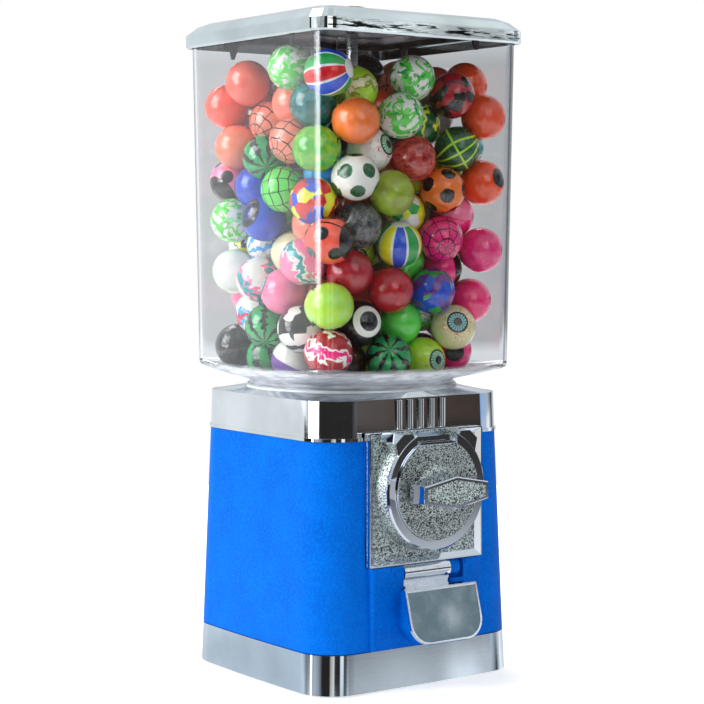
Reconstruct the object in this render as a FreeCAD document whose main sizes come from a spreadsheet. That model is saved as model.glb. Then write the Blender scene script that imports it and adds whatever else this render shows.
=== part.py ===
import FreeCAD, Part
import math
import os
import random

import Sketcher
from FreeCAD import Placement, Rotation, Vector

# A table-top gumball machine for 32 mm balls: a chrome base tray, a painted body with the coin
# mechanism on its front, a chrome top ring, a clear square globe full of balls and a chrome lid,
# all clamped together by one centre rod.
# Frame: millimetres, +Z up, the front faces -Y, the origin is on the table under the centre rod.

SIZES = {
    # floor, feet and base tray
    "foot_radius": 8.0, "foot_tall": 3.2, "foot_spread": 62.0,
    "base_low": 1.5, "base_top": 28.5, "base_half_low": 84.7, "base_half_top": 83.7,
    "base_bulge": 2.4, "corner_round": 27.0,
    "web_low": 9.0, "web_top": 12.0, "base_wall": 5.7,
    # body shell
    "body_low": 29.3, "body_top": 171.1, "body_half_top": 80.2, "body_bulge_top": 0.5,
    "body_wall": 3.4,
    "pad_half": 47.0, "pad_front": 88.6, "pad_top": 85.4,
    "seat_front": 82.2, "window_half": 40.0, "window_low": 94.0, "window_top": 168.0,
    # top ring
    "ring_low": 171.3, "ring_top": 198.3, "ring_half_top": 79.5, "land_top": 202.0,
    "land_radius": 76.5, "ring_wall": 3.2, "rib_radius": 2.3, "rib_pitch": 9.3,
    # wheel housing and ball wheel
    "housing_low": 163.2, "housing_floor": 166.0, "housing_inner": 63.2, "housing_wall": 2.5,
    "housing_flange": 70.8, "outlet_radius": 18.0, "pocket_pitch": 36.5, "pocket_radius": 17.2,
    "wheel_low": 166.4, "wheel_top": 199.5, "wheel_radius": 62.6,
    "crown_inner": 57.9, "crown_outer": 62.1, "crown_root": 172.0, "crown_tip": 167.4,
    # centre rod
    "rod_radius": 4.0, "rod_low": 2.0, "rod_top": 464.6, "rod_clear": 4.3,
    "rod_tip": 3.0, "rod_tip_long": 2.4,
    # globe
    "neck_radius": 74.6, "neck_waist": 72.9, "neck_inner": 71.3, "neck_low": 203.2,
    "flare_low": 208.0, "globe_low": 216.2, "globe_half_low": 82.5,
    "globe_top": 449.0, "globe_half_top": 85.4, "globe_round": 13.0, "globe_wall": 2.6,
    # lid and lock
    "lid_low": 442.3, "lid_rim_top": 452.0, "lid_half": 88.7, "lid_round": 13.0,
    "shoulder_top": 459.8, "shoulder_half": 75.7, "lid_crown": 461.5, "lid_boss_top": 463.5,
    "lock_radius": 14.0, "lock_top": 469.0, "plug_radius": 9.0,
    # coin mechanism, measured from the drive shaft's axis and, forwards, from the machine's axis
    "shaft_height": 137.0, "shaft_radius": 5.0, "bearing_radius": 5.05,
    "plate_half": 48.5, "plate_low": -51.0, "plate_high": 39.5, "plate_back": 82.2,
    "plate_front": 88.0, "bezel": 5.0, "field": 85.0, "rear_boss_back": 79.2,
    "collar_base": 43.5, "collar_rim": 41.8, "collar_front": 99.5, "collar_bore": 35.3,
    "well_floor": 95.4, "well_back": 92.4,
    "disc_radius": 35.0, "disc_back": 98.4, "disc_front": 101.0, "disc_flat": 30.8,
    "handle_back": 105.0, "handle_front": 121.0, "handle_half": 27.3,
    "frame_back": 64.0, "frame_front": 66.5,
    "gear_back": 58.2, "gear_front": 61.8, "idler_rise": 21.0,
    # door
    "hinge_y": -84.0, "hinge_z": 80.0, "barrel_radius": 6.0, "barrel_half": 19.8,
    "pin_radius": 2.0, "pin_bore": 2.05,
    # balls
    "ball_radius": 15.9,
}

SIDE_GEAR_TEETH = 10
IDLER_TEETH = 11
CROWN_TEETH = 60
RATCHET_TEETH = 12
POCKETS = 6

doc = FreeCAD.newDocument("GumballMachine")
sheet = doc.addObject("Spreadsheet::Sheet", "Sizes")
for row, (alias, value) in enumerate(SIZES.items(), start=1):
    sheet.set(f"A{row}", alias)
    sheet.set(f"B{row}", str(value))
    sheet.setAlias(f"B{row}", alias)
doc.recompute()


class Dim:
    """A length that knows both its value and the sheet expression it comes from."""

    def __init__(self, value, text):
        self.value = float(value)
        self.text = text

    @staticmethod
    def of(other):
        return other if isinstance(other, Dim) else Dim(other, f"({float(other)!r})")

    def __float__(self):
        return self.value

    def __add__(self, other):
        other = Dim.of(other)
        return Dim(self.value + other.value, f"({self.text} + {other.text})")

    def __sub__(self, other):
        other = Dim.of(other)
        return Dim(self.value - other.value, f"({self.text} - {other.text})")

    def __mul__(self, other):
        other = Dim.of(other)
        return Dim(self.value * other.value, f"({self.text} * {other.text})")

    def __truediv__(self, other):
        other = Dim.of(other)
        return Dim(self.value / other.value, f"({self.text} / {other.text})")

    def __neg__(self):
        return Dim(-self.value, f"(0 - {self.text})")

    def root(self):
        return Dim(math.sqrt(self.value), f"sqrt({self.text})")

    def __radd__(self, other):
        return Dim.of(other) + self

    def __rsub__(self, other):
        return Dim.of(other) - self

    def __rmul__(self, other):
        return Dim.of(other) * self


class Sheet:
    """Driving dimensions by name: S.body_top is a Dim bound to that cell."""

    def __getattr__(self, alias):
        return Dim(sheet.get(alias), f"Sizes.{alias}")


def derived(alias, length):
    """Keep a worked-out length in the sheet under its own name."""
    row = len(sheet.getUsedCells()) // 2 + 1
    sheet.set(f"A{row}", alias)
    sheet.set(f"B{row}", "=" + length.text.replace("Sizes.", ""))
    sheet.setAlias(f"B{row}", alias)
    return Dim(length.value, f"Sizes.{alias}")


S = Sheet()
subparts = []


def bind(thing, path, length):
    """Set a property, through the sheet when the length comes from it."""
    length = Dim.of(length)
    if "Sizes." in length.text:
        thing.setExpression(path, length.text)
    elif path.startswith("Placement.Base."):
        setattr(thing.Placement.Base, path[-1], length.value)
    else:
        setattr(thing, path, length.value)


def place(thing, at, rotation=None):
    """Put a feature at a point, each coordinate bound to the sheet where it can be."""
    thing.Placement = Placement(Vector(*[float(c) for c in at]), rotation or Rotation())
    for axis, length in zip("xyz", at):
        if isinstance(length, Dim):
            thing.setExpression(f"Placement.Base.{axis}", length.text)
    return thing


def block(name, x, y, z):
    """A box between two values on each axis."""
    box = doc.addObject("Part::Box", name)
    for path, (low, high) in zip(("Length", "Width", "Height"), (x, y, z)):
        bind(box, path, high - Dim.of(low))
    return place(box, (x[0], y[0], z[0]))


TURNS = {
    "z": Rotation(),
    "x": Rotation(Vector(0, 1, 0), 90),
    "front": Rotation(Vector(1, 0, 0), 90),
}


def cylinder(name, radius, start, length, along="z"):
    """A round bar from a start point along an axis; front means towards -Y."""
    bar = doc.addObject("Part::Cylinder", name)
    bind(bar, "Radius", radius)
    bind(bar, "Height", length)
    return place(bar, start, TURNS[along])


def cone(name, radius_low, radius_high, start, length, along="z"):
    frustum = doc.addObject("Part::Cone", name)
    bind(frustum, "Radius1", radius_low)
    bind(frustum, "Radius2", radius_high)
    bind(frustum, "Height", length)
    return place(frustum, start, TURNS[along])


def fuse(name, *shapes):
    union = doc.addObject("Part::MultiFuse", name)
    union.Shapes = list(shapes)
    union.Refine = True
    return union


def cut(name, base, *tools):
    """Take the tools out of the base."""
    difference = doc.addObject("Part::Cut", name)
    difference.Base = base
    difference.Tool = tools[0] if len(tools) == 1 else fuse(f"{name}_tools", *tools)
    difference.Refine = True
    return difference


def common(name, *shapes):
    both = doc.addObject("Part::MultiCommon", name)
    both.Shapes = list(shapes)
    return both


def solid(name, shape):
    """A shape made with Part's own functions, for lofts between unlike outlines."""
    feature = doc.addObject("Part::Feature", name)
    feature.Shape = shape
    return feature


def done(feature, label, in_mechanism=False):
    """Name a finished sub-part, and stand mechanism parts on the drive shaft's axis."""
    feature.Label = label
    if in_mechanism:
        place(feature, (0, 0, S.shaft_height), TURNS["front"])
    subparts.append(feature)
    return feature


# ---------------------------------------------------------------- PartDesign helpers

def new_body(name):
    return doc.addObject("PartDesign::Body", name)


def origin_feature(body, role):
    return next(f for f in body.Origin.OriginFeatures if f.Role == role)


def new_sketch(body, name, role="XY_Plane", offset=0.0):
    sketch = body.newObject("Sketcher::SketchObject", name)
    sketch.AttachmentSupport = [(origin_feature(body, role), "")]
    sketch.MapMode = "FlatFace"
    offset = Dim.of(offset)
    sketch.AttachmentOffset = Placement(Vector(0, 0, offset.value), Rotation())
    if "Sizes." in offset.text:
        sketch.setExpression("AttachmentOffset.Base.z", offset.text)
    return sketch


def fix_point(sketch, geometry, end, x, y):
    """Hold one end of a line or arc at a point of the sheet."""
    for kind, length in (("DistanceX", Dim.of(x)), ("DistanceY", Dim.of(y))):
        index = sketch.addConstraint(Sketcher.Constraint(kind, geometry, end, length.value))
        if "Sizes." in length.text:
            sketch.setExpression(f"Constraints[{index}]", length.text)


def outline(body, name, points, role="XY_Plane", offset=0.0):
    """A closed sketch of straight sides through the given corners."""
    sketch = new_sketch(body, name, role, offset)
    corners = [Vector(float(x), float(y), 0) for x, y in points]
    for start, end in zip(corners, corners[1:] + corners[:1]):
        sketch.addGeometry(Part.LineSegment(start, end), False)
    count = len(points)
    for side in range(count):
        sketch.addConstraint(Sketcher.Constraint("Coincident", side, 2, (side + 1) % count, 1))
    for side, (x, y) in enumerate(points):
        fix_point(sketch, side, 1, x, y)
    return sketch


def circle(body, name, radius, centre=(0, 0), role="XY_Plane", offset=0.0):
    sketch = new_sketch(body, name, role, offset)
    radius = Dim.of(radius)
    middle = Vector(float(centre[0]), float(centre[1]), 0)
    sketch.addGeometry(Part.Circle(middle, Vector(0, 0, 1), radius.value), False)
    fix_point(sketch, 0, 3, *centre)
    index = sketch.addConstraint(Sketcher.Constraint("Radius", 0, radius.value))
    if "Sizes." in radius.text:
        sketch.setExpression(f"Constraints[{index}]", radius.text)
    return sketch


def cushion(body, name, half, bulge, corner, offset):
    """A square sketch with bowed sides that run smoothly into round corners."""
    half, bulge, corner = Dim.of(half), Dim.of(bulge), Dim.of(corner)
    sketch = new_sketch(body, name, "XY_Plane", offset)
    bow = derived(f"{name}_bow", (half * half + bulge * bulge) / (bulge * 2))
    back = derived(f"{name}_back", bow - half - bulge)
    swing = derived(f"{name}_swing", bow - corner)
    middle = derived(f"{name}_middle", ((swing * swing * 2 - back * back).root() - back) / 2)
    far = derived(f"{name}_far", (middle + back) * bow / swing - back)
    near = derived(f"{name}_near", middle * bow / swing)
    doc.recompute()
    crest, core = half + bulge, middle.value + corner.value * math.sqrt(0.5)
    quarters = [
        [(far, -near), (crest, 0), (far, near), (core, core), (near, far)],
        [(near, far), (0, crest), (-near, far), (-core, core), (-far, near)],
        [(-far, near), (-crest, 0), (-far, -near), (-core, -core), (-near, -far)],
        [(-near, -far), (0, -crest), (near, -far), (core, -core), (far, -near)],
    ]
    for points in quarters:
        spots = [Vector(float(x), float(y), 0) for x, y in points]
        sketch.addGeometry(Part.Arc(*spots[0:3]), False)
        sketch.addGeometry(Part.Arc(*spots[2:5]), False)
    for edge in range(8):
        sketch.addConstraint(Sketcher.Constraint("Coincident", edge, 2, (edge + 1) % 8, 1))
    for quarter, points in enumerate(quarters):
        fix_point(sketch, 2 * quarter, 1, *points[0])
        fix_point(sketch, 2 * quarter, 2, *points[2])
        for edge, radius in ((2 * quarter, bow), (2 * quarter + 1, corner)):
            index = sketch.addConstraint(Sketcher.Constraint("Radius", edge, radius.value))
            sketch.setExpression(f"Constraints[{index}]", radius.text)
    return sketch


def pad(body, sketch, length, reverse=False):
    feature = body.newObject("PartDesign::Pad", f"{sketch.Name}_pad")
    feature.Profile = sketch
    bind(feature, "Length", length)
    feature.Reversed = reverse
    return feature


def pocket(body, sketch, length, reverse=False):
    feature = body.newObject("PartDesign::Pocket", f"{sketch.Name}_pocket")
    feature.Profile = sketch
    bind(feature, "Length", length)
    feature.Reversed = reverse
    return feature


def upright_edges(feature):
    """The edges that climb from the bottom of a shape to its top."""
    box = feature.Shape.BoundBox
    names = []
    for number, edge in enumerate(feature.Shape.Edges, start=1):
        if edge.BoundBox.ZLength > 0.9 * box.ZLength:
            names.append(f"Edge{number}")
    return names


def rounded(body, feature, names, radius):
    fillet = body.newObject("PartDesign::Fillet", f"{feature.Name}_fillet")
    fillet.Base = (feature, names)
    bind(fillet, "Radius", radius)
    return fillet


def cushion_block(name, low, high, corner):
    """A rounded block between two cushion outlines, each given as height, half width, bulge."""
    body = new_body(name)
    first = cushion(body, f"{name}_low", low[1], low[2], corner, low[0])
    second = cushion(body, f"{name}_high", high[1], high[2], corner, high[0])
    loft = body.newObject("PartDesign::AdditiveLoft", f"{name}_loft")
    loft.Profile = first
    loft.Sections = [second]
    loft.Ruled = True
    return body


def turned(name, profile):
    """A body turned about Z from a profile of radius and height pairs."""
    body = new_body(name)
    sketch = outline(body, f"{name}_profile", profile, "XZ_Plane")
    turn = body.newObject("PartDesign::Revolution", f"{name}_turn")
    turn.Profile = sketch
    turn.ReferenceAxis = (sketch, ["V_Axis"])
    turn.Angle = 360
    return body


def prism(name, points, low, high, corner=None):
    """An upright prism on a straight-sided outline, its upright edges rounded if asked."""
    body = new_body(name)
    base = pad(body, outline(body, f"{name}_outline", points, offset=low), high - Dim.of(low))
    if corner is not None:
        doc.recompute()
        rounded(body, base, upright_edges(base), corner)
    return body


def repeated(body, features, count, name):
    """Repeat features round the body's Z axis."""
    pattern = body.newObject("PartDesign::PolarPattern", name)
    pattern.Originals = features
    pattern.Axis = (origin_feature(body, "Z_Axis"), [""])
    pattern.Angle = 360
    pattern.Occurrences = count
    body.Tip = pattern
    return pattern


def gear(name, teeth, root, tip, half_root, half_tip, low, high, lean=0.0):
    """A toothed disc with straight-flanked teeth, the first one on the X axis."""
    body = new_body(name)
    pad(body, circle(body, f"{name}_disc", root, offset=low), high - Dim.of(low))
    inside = root - 0.6
    tooth_points = [
        (inside, -half_root), (tip, -half_tip + lean), (tip, half_tip + lean), (inside, half_root),
    ]
    tooth = pad(body, outline(body, f"{name}_tooth", tooth_points, offset=low), high - Dim.of(low))
    doc.recompute()
    repeated(body, [tooth], teeth, f"{name}_teeth")
    return body


# ---------------------------------------------------------------- outlines for lofts

def square_wire(half, corner, height, sag=0.0):
    """A square outline with round corners; its sides dip by the sag at their middles."""
    half, corner, height = float(half), float(corner), float(height)
    flat = half - corner
    edges = []
    for quarter in range(4):
        turn = Rotation(Vector(0, 0, 1), 90 * quarter)
        side = [turn.multVec(Vector(half, y, z)) for y, z in ((-flat, 0), (0, -sag), (flat, 0))]
        swing = [Vector(flat + corner * math.cos(a), flat + corner * math.sin(a), 0)
                 for a in (0, math.pi / 4, math.pi / 2)]
        swing = [turn.multVec(point) for point in swing]
        edges.append(Part.Arc(*side).toShape() if sag else Part.makeLine(side[0], side[2]))
        edges.append(Part.Arc(*swing).toShape())
    wire = Part.Wire(edges)
    wire.translate(Vector(0, 0, height))
    return wire


def round_wire(radius, height, side_angle=32.0):
    """A circle as eight arcs, matched to the eight edges of a square outline."""
    radius, height = float(radius), float(height)

    def at(degrees):
        angle = math.radians(degrees)
        return Vector(radius * math.cos(angle), radius * math.sin(angle), height)

    edges = []
    for quarter in range(4):
        middle = 90 * quarter
        edges.append(Part.Arc(at(middle - side_angle), at(middle), at(middle + side_angle)).toShape())
        edges.append(Part.Arc(at(middle + side_angle), at(middle + 45),
                              at(middle + 90 - side_angle)).toShape())
    return Part.Wire(edges)


def loft(name, *wires):
    """A solid with ruled faces through the wires."""
    return solid(name, Part.makeLoft(list(wires), True, True))


# ---------------------------------------------------------------- base and body

def base_tray():
    outer = cushion_block("base_outer", (S.base_low, S.base_half_low, S.base_bulge),
                          (S.base_top, S.base_half_top, S.base_bulge), S.corner_round)
    inner = S.base_half_top - S.base_wall
    square = [(-inner, -inner), (inner, -inner), (inner, inner), (-inner, inner)]
    above = prism("base_hollow", square, S.web_top, S.base_top + 1, 20)
    below = prism("base_underside", square, S.base_low - 1, S.web_low, 20)
    rod_hole = cylinder("base_rod_hole", S.rod_clear, (0, 0, S.web_low - 1), 12)
    hub = cylinder("base_hub", 12, (0, 0, S.web_low), 6)
    bosses = [
        cylinder(f"base_boss_{side}_{end}", S.foot_radius + 1.5,
                 (S.foot_spread * side, S.foot_spread * end, S.foot_tall), S.web_low - S.foot_tall)
        for side in (1, -1) for end in (1, -1)
    ]
    tray = cut("base_cut", outer, above, below)
    return done(cut("base_done", fuse("base_fused", tray, hub, *bosses), rod_hole), "base_tray")


def rubber_feet():
    feet = [
        cylinder(f"foot_{side}_{end}", S.foot_radius, (S.foot_spread * side, S.foot_spread * end, 0),
                 S.foot_tall)
        for side in (1, -1) for end in (1, -1)
    ]
    return done(fuse("feet", *feet), "rubber_feet")


def coin_tray():
    """A lift-out tray in the base that catches the coins, with a tube round the centre rod."""
    half, floor, top = 72.0, S.web_top + 0.4, S.base_top - 4
    square = [(-half, -half), (half, -half), (half, half), (-half, half)]
    inside = half - 1.6
    hollow = [(-inside, -inside), (inside, -inside), (inside, inside), (-inside, inside)]
    outer = prism("coin_tray_outer", square, floor, top, 18)
    inner = prism("coin_tray_inner", hollow, floor + 1.6, top + 1, 16.4)
    tube = cylinder("coin_tray_tube", 15.6, (0, 0, floor), top - floor)
    hole = cylinder("coin_tray_hole", 14, (0, 0, floor - 1), top - floor + 2)
    return done(cut("coin_tray_done", fuse("coin_tray_fused", cut("coin_tray_cut", outer, inner),
                                           tube), hole), "coin_tray")


def scoop():
    """The chute's lip: a U-shaped cup that the door closes on, its front edge leaning out."""
    outside = [(-24, 68.6), (-24, 44), (-17, 34.3), (17, 34.3), (24, 44), (24, 68.6)]
    cup = new_body("scoop_cup")
    pad(cup, outline(cup, "scoop_outline", outside, "XZ_Plane", 80), 40)
    inside = [(-19.6, 75), (-19.6, 46), (-14, 36.8), (14, 36.8), (19.6, 46), (19.6, 75)]
    way = new_body("scoop_way")
    pad(way, outline(way, "scoop_way_outline", inside, "XZ_Plane", 70), 60)
    front = new_body("scoop_front")
    lean = [(-100.9, 72), (-130, 72), (-130, 30), (-112.4, 30)]
    pad(front, outline(front, "scoop_lean", lean, "YZ_Plane", -40), 80)
    return cup, way, front


def body_shell():
    outer = cushion_block("body_outer", (S.body_low, S.base_half_top, S.base_bulge),
                          (S.body_top, S.body_half_top, S.body_bulge_top), S.corner_round)
    reveal = cushion_block("body_reveal", (S.base_top, S.base_half_top - 1.2, S.base_bulge),
                           (S.body_low + 1, S.base_half_top - 1.2, S.base_bulge), S.corner_round - 1)
    hollow = cushion_block(
        "body_hollow", (S.base_top - 1, S.base_half_top - S.body_wall, S.base_bulge),
        (S.body_top + 1, S.body_half_top - S.body_wall, S.body_bulge_top),
        S.corner_round - S.body_wall)
    pad_block = prism("body_pad", [(-S.pad_half, -S.pad_front), (S.pad_half, -S.pad_front),
                                   (S.pad_half, -77), (-S.pad_half, -77)],
                      S.body_low, S.pad_top, 2.0)
    seat = block("body_seat", (-S.plate_half, S.plate_half), (-S.seat_front, -76),
                 (S.pad_top - 1, S.body_top))
    seat_cut = block("body_seat_cut", (-S.plate_half - 0.4, S.plate_half + 0.4),
                     (-95, -S.seat_front), (S.pad_top + 0.2, S.body_top + 2))
    window = block("body_window", (-S.window_half, S.window_half), (-95, -70),
                   (S.window_low, S.window_top))
    notch = block("body_notch", (-20.3, 20.3), (-95, -70), (68.6, S.pad_top + 1))
    recess = block("body_recess", (20.0, 31.5), (-95, -83.2), (72.5, S.pad_top + 1))
    ears = []
    for side, start in (("left", -28.0), ("right", 20.4)):
        ears.append(cylinder(f"body_ear_{side}", 5.6, (start, S.hinge_y, S.hinge_z), 7.6, "x"))
    for x in (-29.3, 34.5):
        ears.append(cylinder(f"body_stud_{x}", 1.9, (x, -S.pad_front + 0.5, S.pad_top - 1.9), 1.6,
                             "front"))
    pin_hole = cylinder("body_pin_hole", S.pin_bore, (-31, S.hinge_y, S.hinge_z), 62, "x")
    cup, way, front = scoop()
    blank = cut("body_blank", fuse("body_solid", outer, reveal), hollow)
    lip = cut("body_lip", cup, front)
    built = fuse("body_built", blank, pad_block, seat, lip)
    opened = cut("body_opened", built, seat_cut, window, notch, recess, way)
    holes = [cylinder(f"body_screw_hole_{i}", 2.2, (x, -76, z), 8, "front")
             for i, (x, z) in enumerate(plate_screw_places())]
    return done(cut("body_done", fuse("body_eared", opened, *ears), pin_hole, *holes), "body_shell")


def plate_screw_places():
    return [(x, z) for x in (-44.3, 44.3) for z in (98.0, 160.0)]


def top_ring():
    wall = cushion_block("ring_outer", (S.ring_low, S.body_half_top, S.body_bulge_top),
                         (S.ring_top, S.ring_half_top, S.body_bulge_top), S.corner_round)
    hollow = cushion_block(
        "ring_hollow", (S.ring_low - 1, S.body_half_top - S.ring_wall, S.body_bulge_top),
        (S.ring_top - 2.4, S.ring_half_top - S.ring_wall, S.body_bulge_top),
        S.corner_round - S.ring_wall)
    hem = cushion_block("ring_hem", (S.ring_low, S.body_half_top + 0.7, S.body_bulge_top),
                        (S.ring_low + 2.2, S.body_half_top + 0.7, S.body_bulge_top), S.corner_round)
    dome = loft("ring_dome", square_wire(S.ring_half_top - 1.0, S.corner_round - 1, S.ring_top - 1.5),
                square_wire(S.ring_half_top - 1.0, S.corner_round - 1, S.ring_top),
                round_wire(S.land_radius, S.land_top))
    mouth = cylinder("ring_mouth", 66.5, (0, 0, S.ring_top - 10), 20)
    ribs = []
    for number in range(-2, 3):
        bar = cylinder(f"ring_rib_{number + 2}", S.rib_radius,
                       (S.rib_pitch * number, -S.body_half_top - 0.6, S.ring_low + 6.0), 20.0)
        ribs.append(bar)
    outer = fuse("ring_solid", wall, hem, dome, *ribs)
    return done(cut("ring_done", outer, hollow, mouth), "top_ring")


# ---------------------------------------------------------------- wheel housing and ball wheel

def wheel_housing():
    outer_wall = S.housing_inner + S.housing_wall
    bowl = turned("housing_bowl", [
        (0, S.housing_low), (outer_wall, S.housing_low), (outer_wall, S.land_top),
        (S.housing_flange, S.land_top), (S.housing_flange, S.land_top + 1.8),
        (S.housing_inner, S.land_top + 1.8), (S.housing_inner, S.housing_floor),
        (0, S.housing_floor),
    ])
    hole = cylinder("housing_rod_hole", S.rod_clear, (0, 0, S.housing_low - 1), 5)
    outlet = cylinder("housing_outlet", S.outlet_radius,
                      (0, -S.pocket_pitch, S.housing_low - 1), 5)
    gear_window = block("housing_window", (-14, 14), (-62.9, -57.2),
                        (S.housing_low - 1, S.housing_floor + 1))
    return done(cut("housing_done", bowl, hole, outlet, gear_window), "wheel_housing")


def ball_wheel():
    """The dispensing wheel: six ball pockets and a crown of teeth under its rim."""
    body = new_body("wheel_body")
    pad(body, circle(body, "wheel_disc", S.crown_inner - 0.6, offset=S.wheel_low),
        S.wheel_top - S.wheel_low)
    pad(body, circle(body, "wheel_rim", S.wheel_radius, offset=S.crown_root),
        S.wheel_top - S.crown_root)
    tooth = pad(body, outline(body, "crown_tooth", [
        (S.crown_inner - 1.2, -1.35), (S.crown_outer, -1.35), (S.crown_outer, 1.35),
        (S.crown_inner - 1.2, 1.35)], offset=S.crown_tip + 1.2), S.crown_root - S.crown_tip - 1.0)
    nose = pad(body, outline(body, "crown_nose", [
        (S.crown_inner - 1.2, -0.75), (S.crown_outer, -0.75), (S.crown_outer, 0.75),
        (S.crown_inner - 1.2, 0.75)], offset=S.crown_tip), 1.4)
    doc.recompute()
    repeated(body, [tooth, nose], CROWN_TEETH, "crown_teeth")
    hole = pocket(body, circle(body, "wheel_pocket", S.pocket_radius, (0, -S.pocket_pitch),
                               offset=S.wheel_top + 1), S.wheel_top - S.wheel_low + 2)
    doc.recompute()
    repeated(body, [hole], POCKETS, "wheel_pockets")
    pocket(body, circle(body, "wheel_bore", S.rod_radius + 0.06, offset=S.wheel_top + 1),
           S.wheel_top - S.wheel_low + 2)
    return done(body, "ball_wheel")


def agitator():
    """A smooth cap that turns with the wheel and nudges the balls towards its pockets."""
    cap = turned("agitator_cap", [
        (S.rod_radius + 0.06, S.wheel_top), (13, S.wheel_top), (13, S.wheel_top + 2.5),
        (8.5, S.wheel_top + 12), (S.rod_radius + 0.06, S.wheel_top + 12),
    ])
    return done(cap, "agitator")


def sector(name, inner, outer, half_angle, low, high):
    """A flat fan-shaped plate about the rod, centred on the front."""
    ring = turned(f"{name}_ring", [(inner, low), (outer, low), (outer, high), (inner, high)])
    reach = float(outer) * 2
    wide = reach * math.tan(math.radians(half_angle))
    fan = prism(f"{name}_fan", [(0, 0), (-wide, -reach), (wide, -reach)], low - 1, high + 1)
    return common(f"{name}_sector", ring, fan)


def brush_cover():
    """The plate over the outlet that keeps the other balls out of the pocket being emptied."""
    plate = sector("cover", 16, S.housing_flange - 0.4, 34, S.wheel_top + 4.4, S.wheel_top + 6.2)
    foot = sector("cover_foot", 66.6, S.housing_flange - 0.4, 34, S.land_top + 1.8,
                  S.wheel_top + 4.6)
    return done(fuse("cover_done", plate, foot), "brush_cover")


def wiper_brush():
    """Two rows of bristles under the cover's side edges, modelled as thin strips."""
    strips = []
    for side in (-1, 1):
        strip = block(f"bristle_{side}", (-1.2, 1.2), (-61, -19),
                      (S.wheel_top + 0.4, S.wheel_top + 4.4))
        turn = Rotation(Vector(0, 0, 1), 27 * side)
        strip.Placement = Placement(Vector(), turn).multiply(strip.Placement)
        strips.append(strip)
    return strips


def globe_gasket():
    ring = turned("gasket_ring", [
        (71.2, S.land_top), (75.2, S.land_top), (75.2, S.neck_low), (71.2, S.neck_low)])
    return done(ring, "globe_gasket")


# ---------------------------------------------------------------- rod

def hexagon(name, across_flats, low, high):
    """A hexagonal prism about Z."""
    body = new_body(name)
    corner = across_flats / math.sqrt(3)
    points = [(corner * math.cos(math.radians(60 * i)), corner * math.sin(math.radians(60 * i)))
              for i in range(6)]
    pad(body, outline(body, f"{name}_hexagon", points, offset=low), high - Dim.of(low))
    return body


def centre_rod():
    """The clamping rod; its lower end is turned down to lead the nut on."""
    shoulder = S.rod_low + S.rod_tip_long
    rod = cylinder("rod", S.rod_radius, (0, 0, shoulder), S.rod_top - shoulder)
    tip = cylinder("rod_lead", S.rod_tip, (0, 0, S.rod_low), S.rod_tip_long)
    return done(fuse("rod_done", rod, tip), "centre_rod")


def rod_nut():
    nut = hexagon("rod_nut_hexagon", 13.0, S.web_low - 4.6, S.web_low - 1.6)
    hole = cylinder("rod_nut_hole", S.rod_radius, (0, 0, S.web_low - 10), 15)
    return done(cut("rod_nut_done", nut, hole), "rod_nut")


def rod_washer():
    washer = turned("washer_ring", [
        (S.rod_radius + 0.2, S.web_low - 1.6), (9, S.web_low - 1.6), (9, S.web_low),
        (S.rod_radius + 0.2, S.web_low)])
    return done(washer, "rod_washer")


# ---------------------------------------------------------------- globe, lid and lock

def globe_rings(inset):
    """The globe's lower sections from the pan outwards: half width, corner, height, dip."""
    half, corner = float(S.globe_half_low) - inset, float(S.globe_round) - inset
    low = float(S.globe_low)
    return [(half - 3.4, corner - 2.6, low - 1.2 + inset, 5.4),
            (half - 0.9, corner - 0.7, low + 0.0 + inset * 0.9, 4.7),
            (half, corner, low + 2.4 + inset * 0.6, 4.4)]


def globe_shell(name, inset):
    """The globe's outer form, or its inside when inset by the wall."""
    flare = float(S.neck_inner) if inset else float(S.neck_radius) + 0.4
    top = S.globe_top + (1 if inset else 0)
    return loft(name, round_wire(flare, S.flare_low + inset * 0.85),
                *[square_wire(*ring) for ring in globe_rings(inset)],
                square_wire(S.globe_half_top - inset, S.globe_round - inset, top))


def globe():
    outside = globe_shell("globe_outside", 0.0)
    inside = globe_shell("globe_inside", float(S.globe_wall))
    neck = turned("globe_neck", [
        (0, S.neck_low), (S.neck_radius, S.neck_low), (S.neck_radius, S.neck_low + 1.0),
        (S.neck_waist, S.neck_low + 1.9), (S.neck_waist, S.flare_low - 1.4),
        (S.neck_radius + 0.4, S.flare_low), (0, S.flare_low)])
    bore = cylinder("globe_bore", S.neck_inner, (0, 0, S.neck_low - 1), 9)
    return done(cut("globe_done", fuse("globe_solid", outside, neck), inside, bore), "globe")


def lid_tab(name, quarter):
    """A pointed tab under the lid that centres it inside the globe."""
    body = new_body(name)
    points = [(40, float(S.globe_top) + 1.5), (51, float(S.globe_top) + 1.5), (47.5, 436.5),
              (45.5, 436.5)]
    pad(body, outline(body, f"{name}_outline", points, "XZ_Plane", 80.4), 1.6)
    body.Placement = Placement(Vector(), Rotation(Vector(0, 0, 1), 90 * quarter))
    return body


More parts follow.
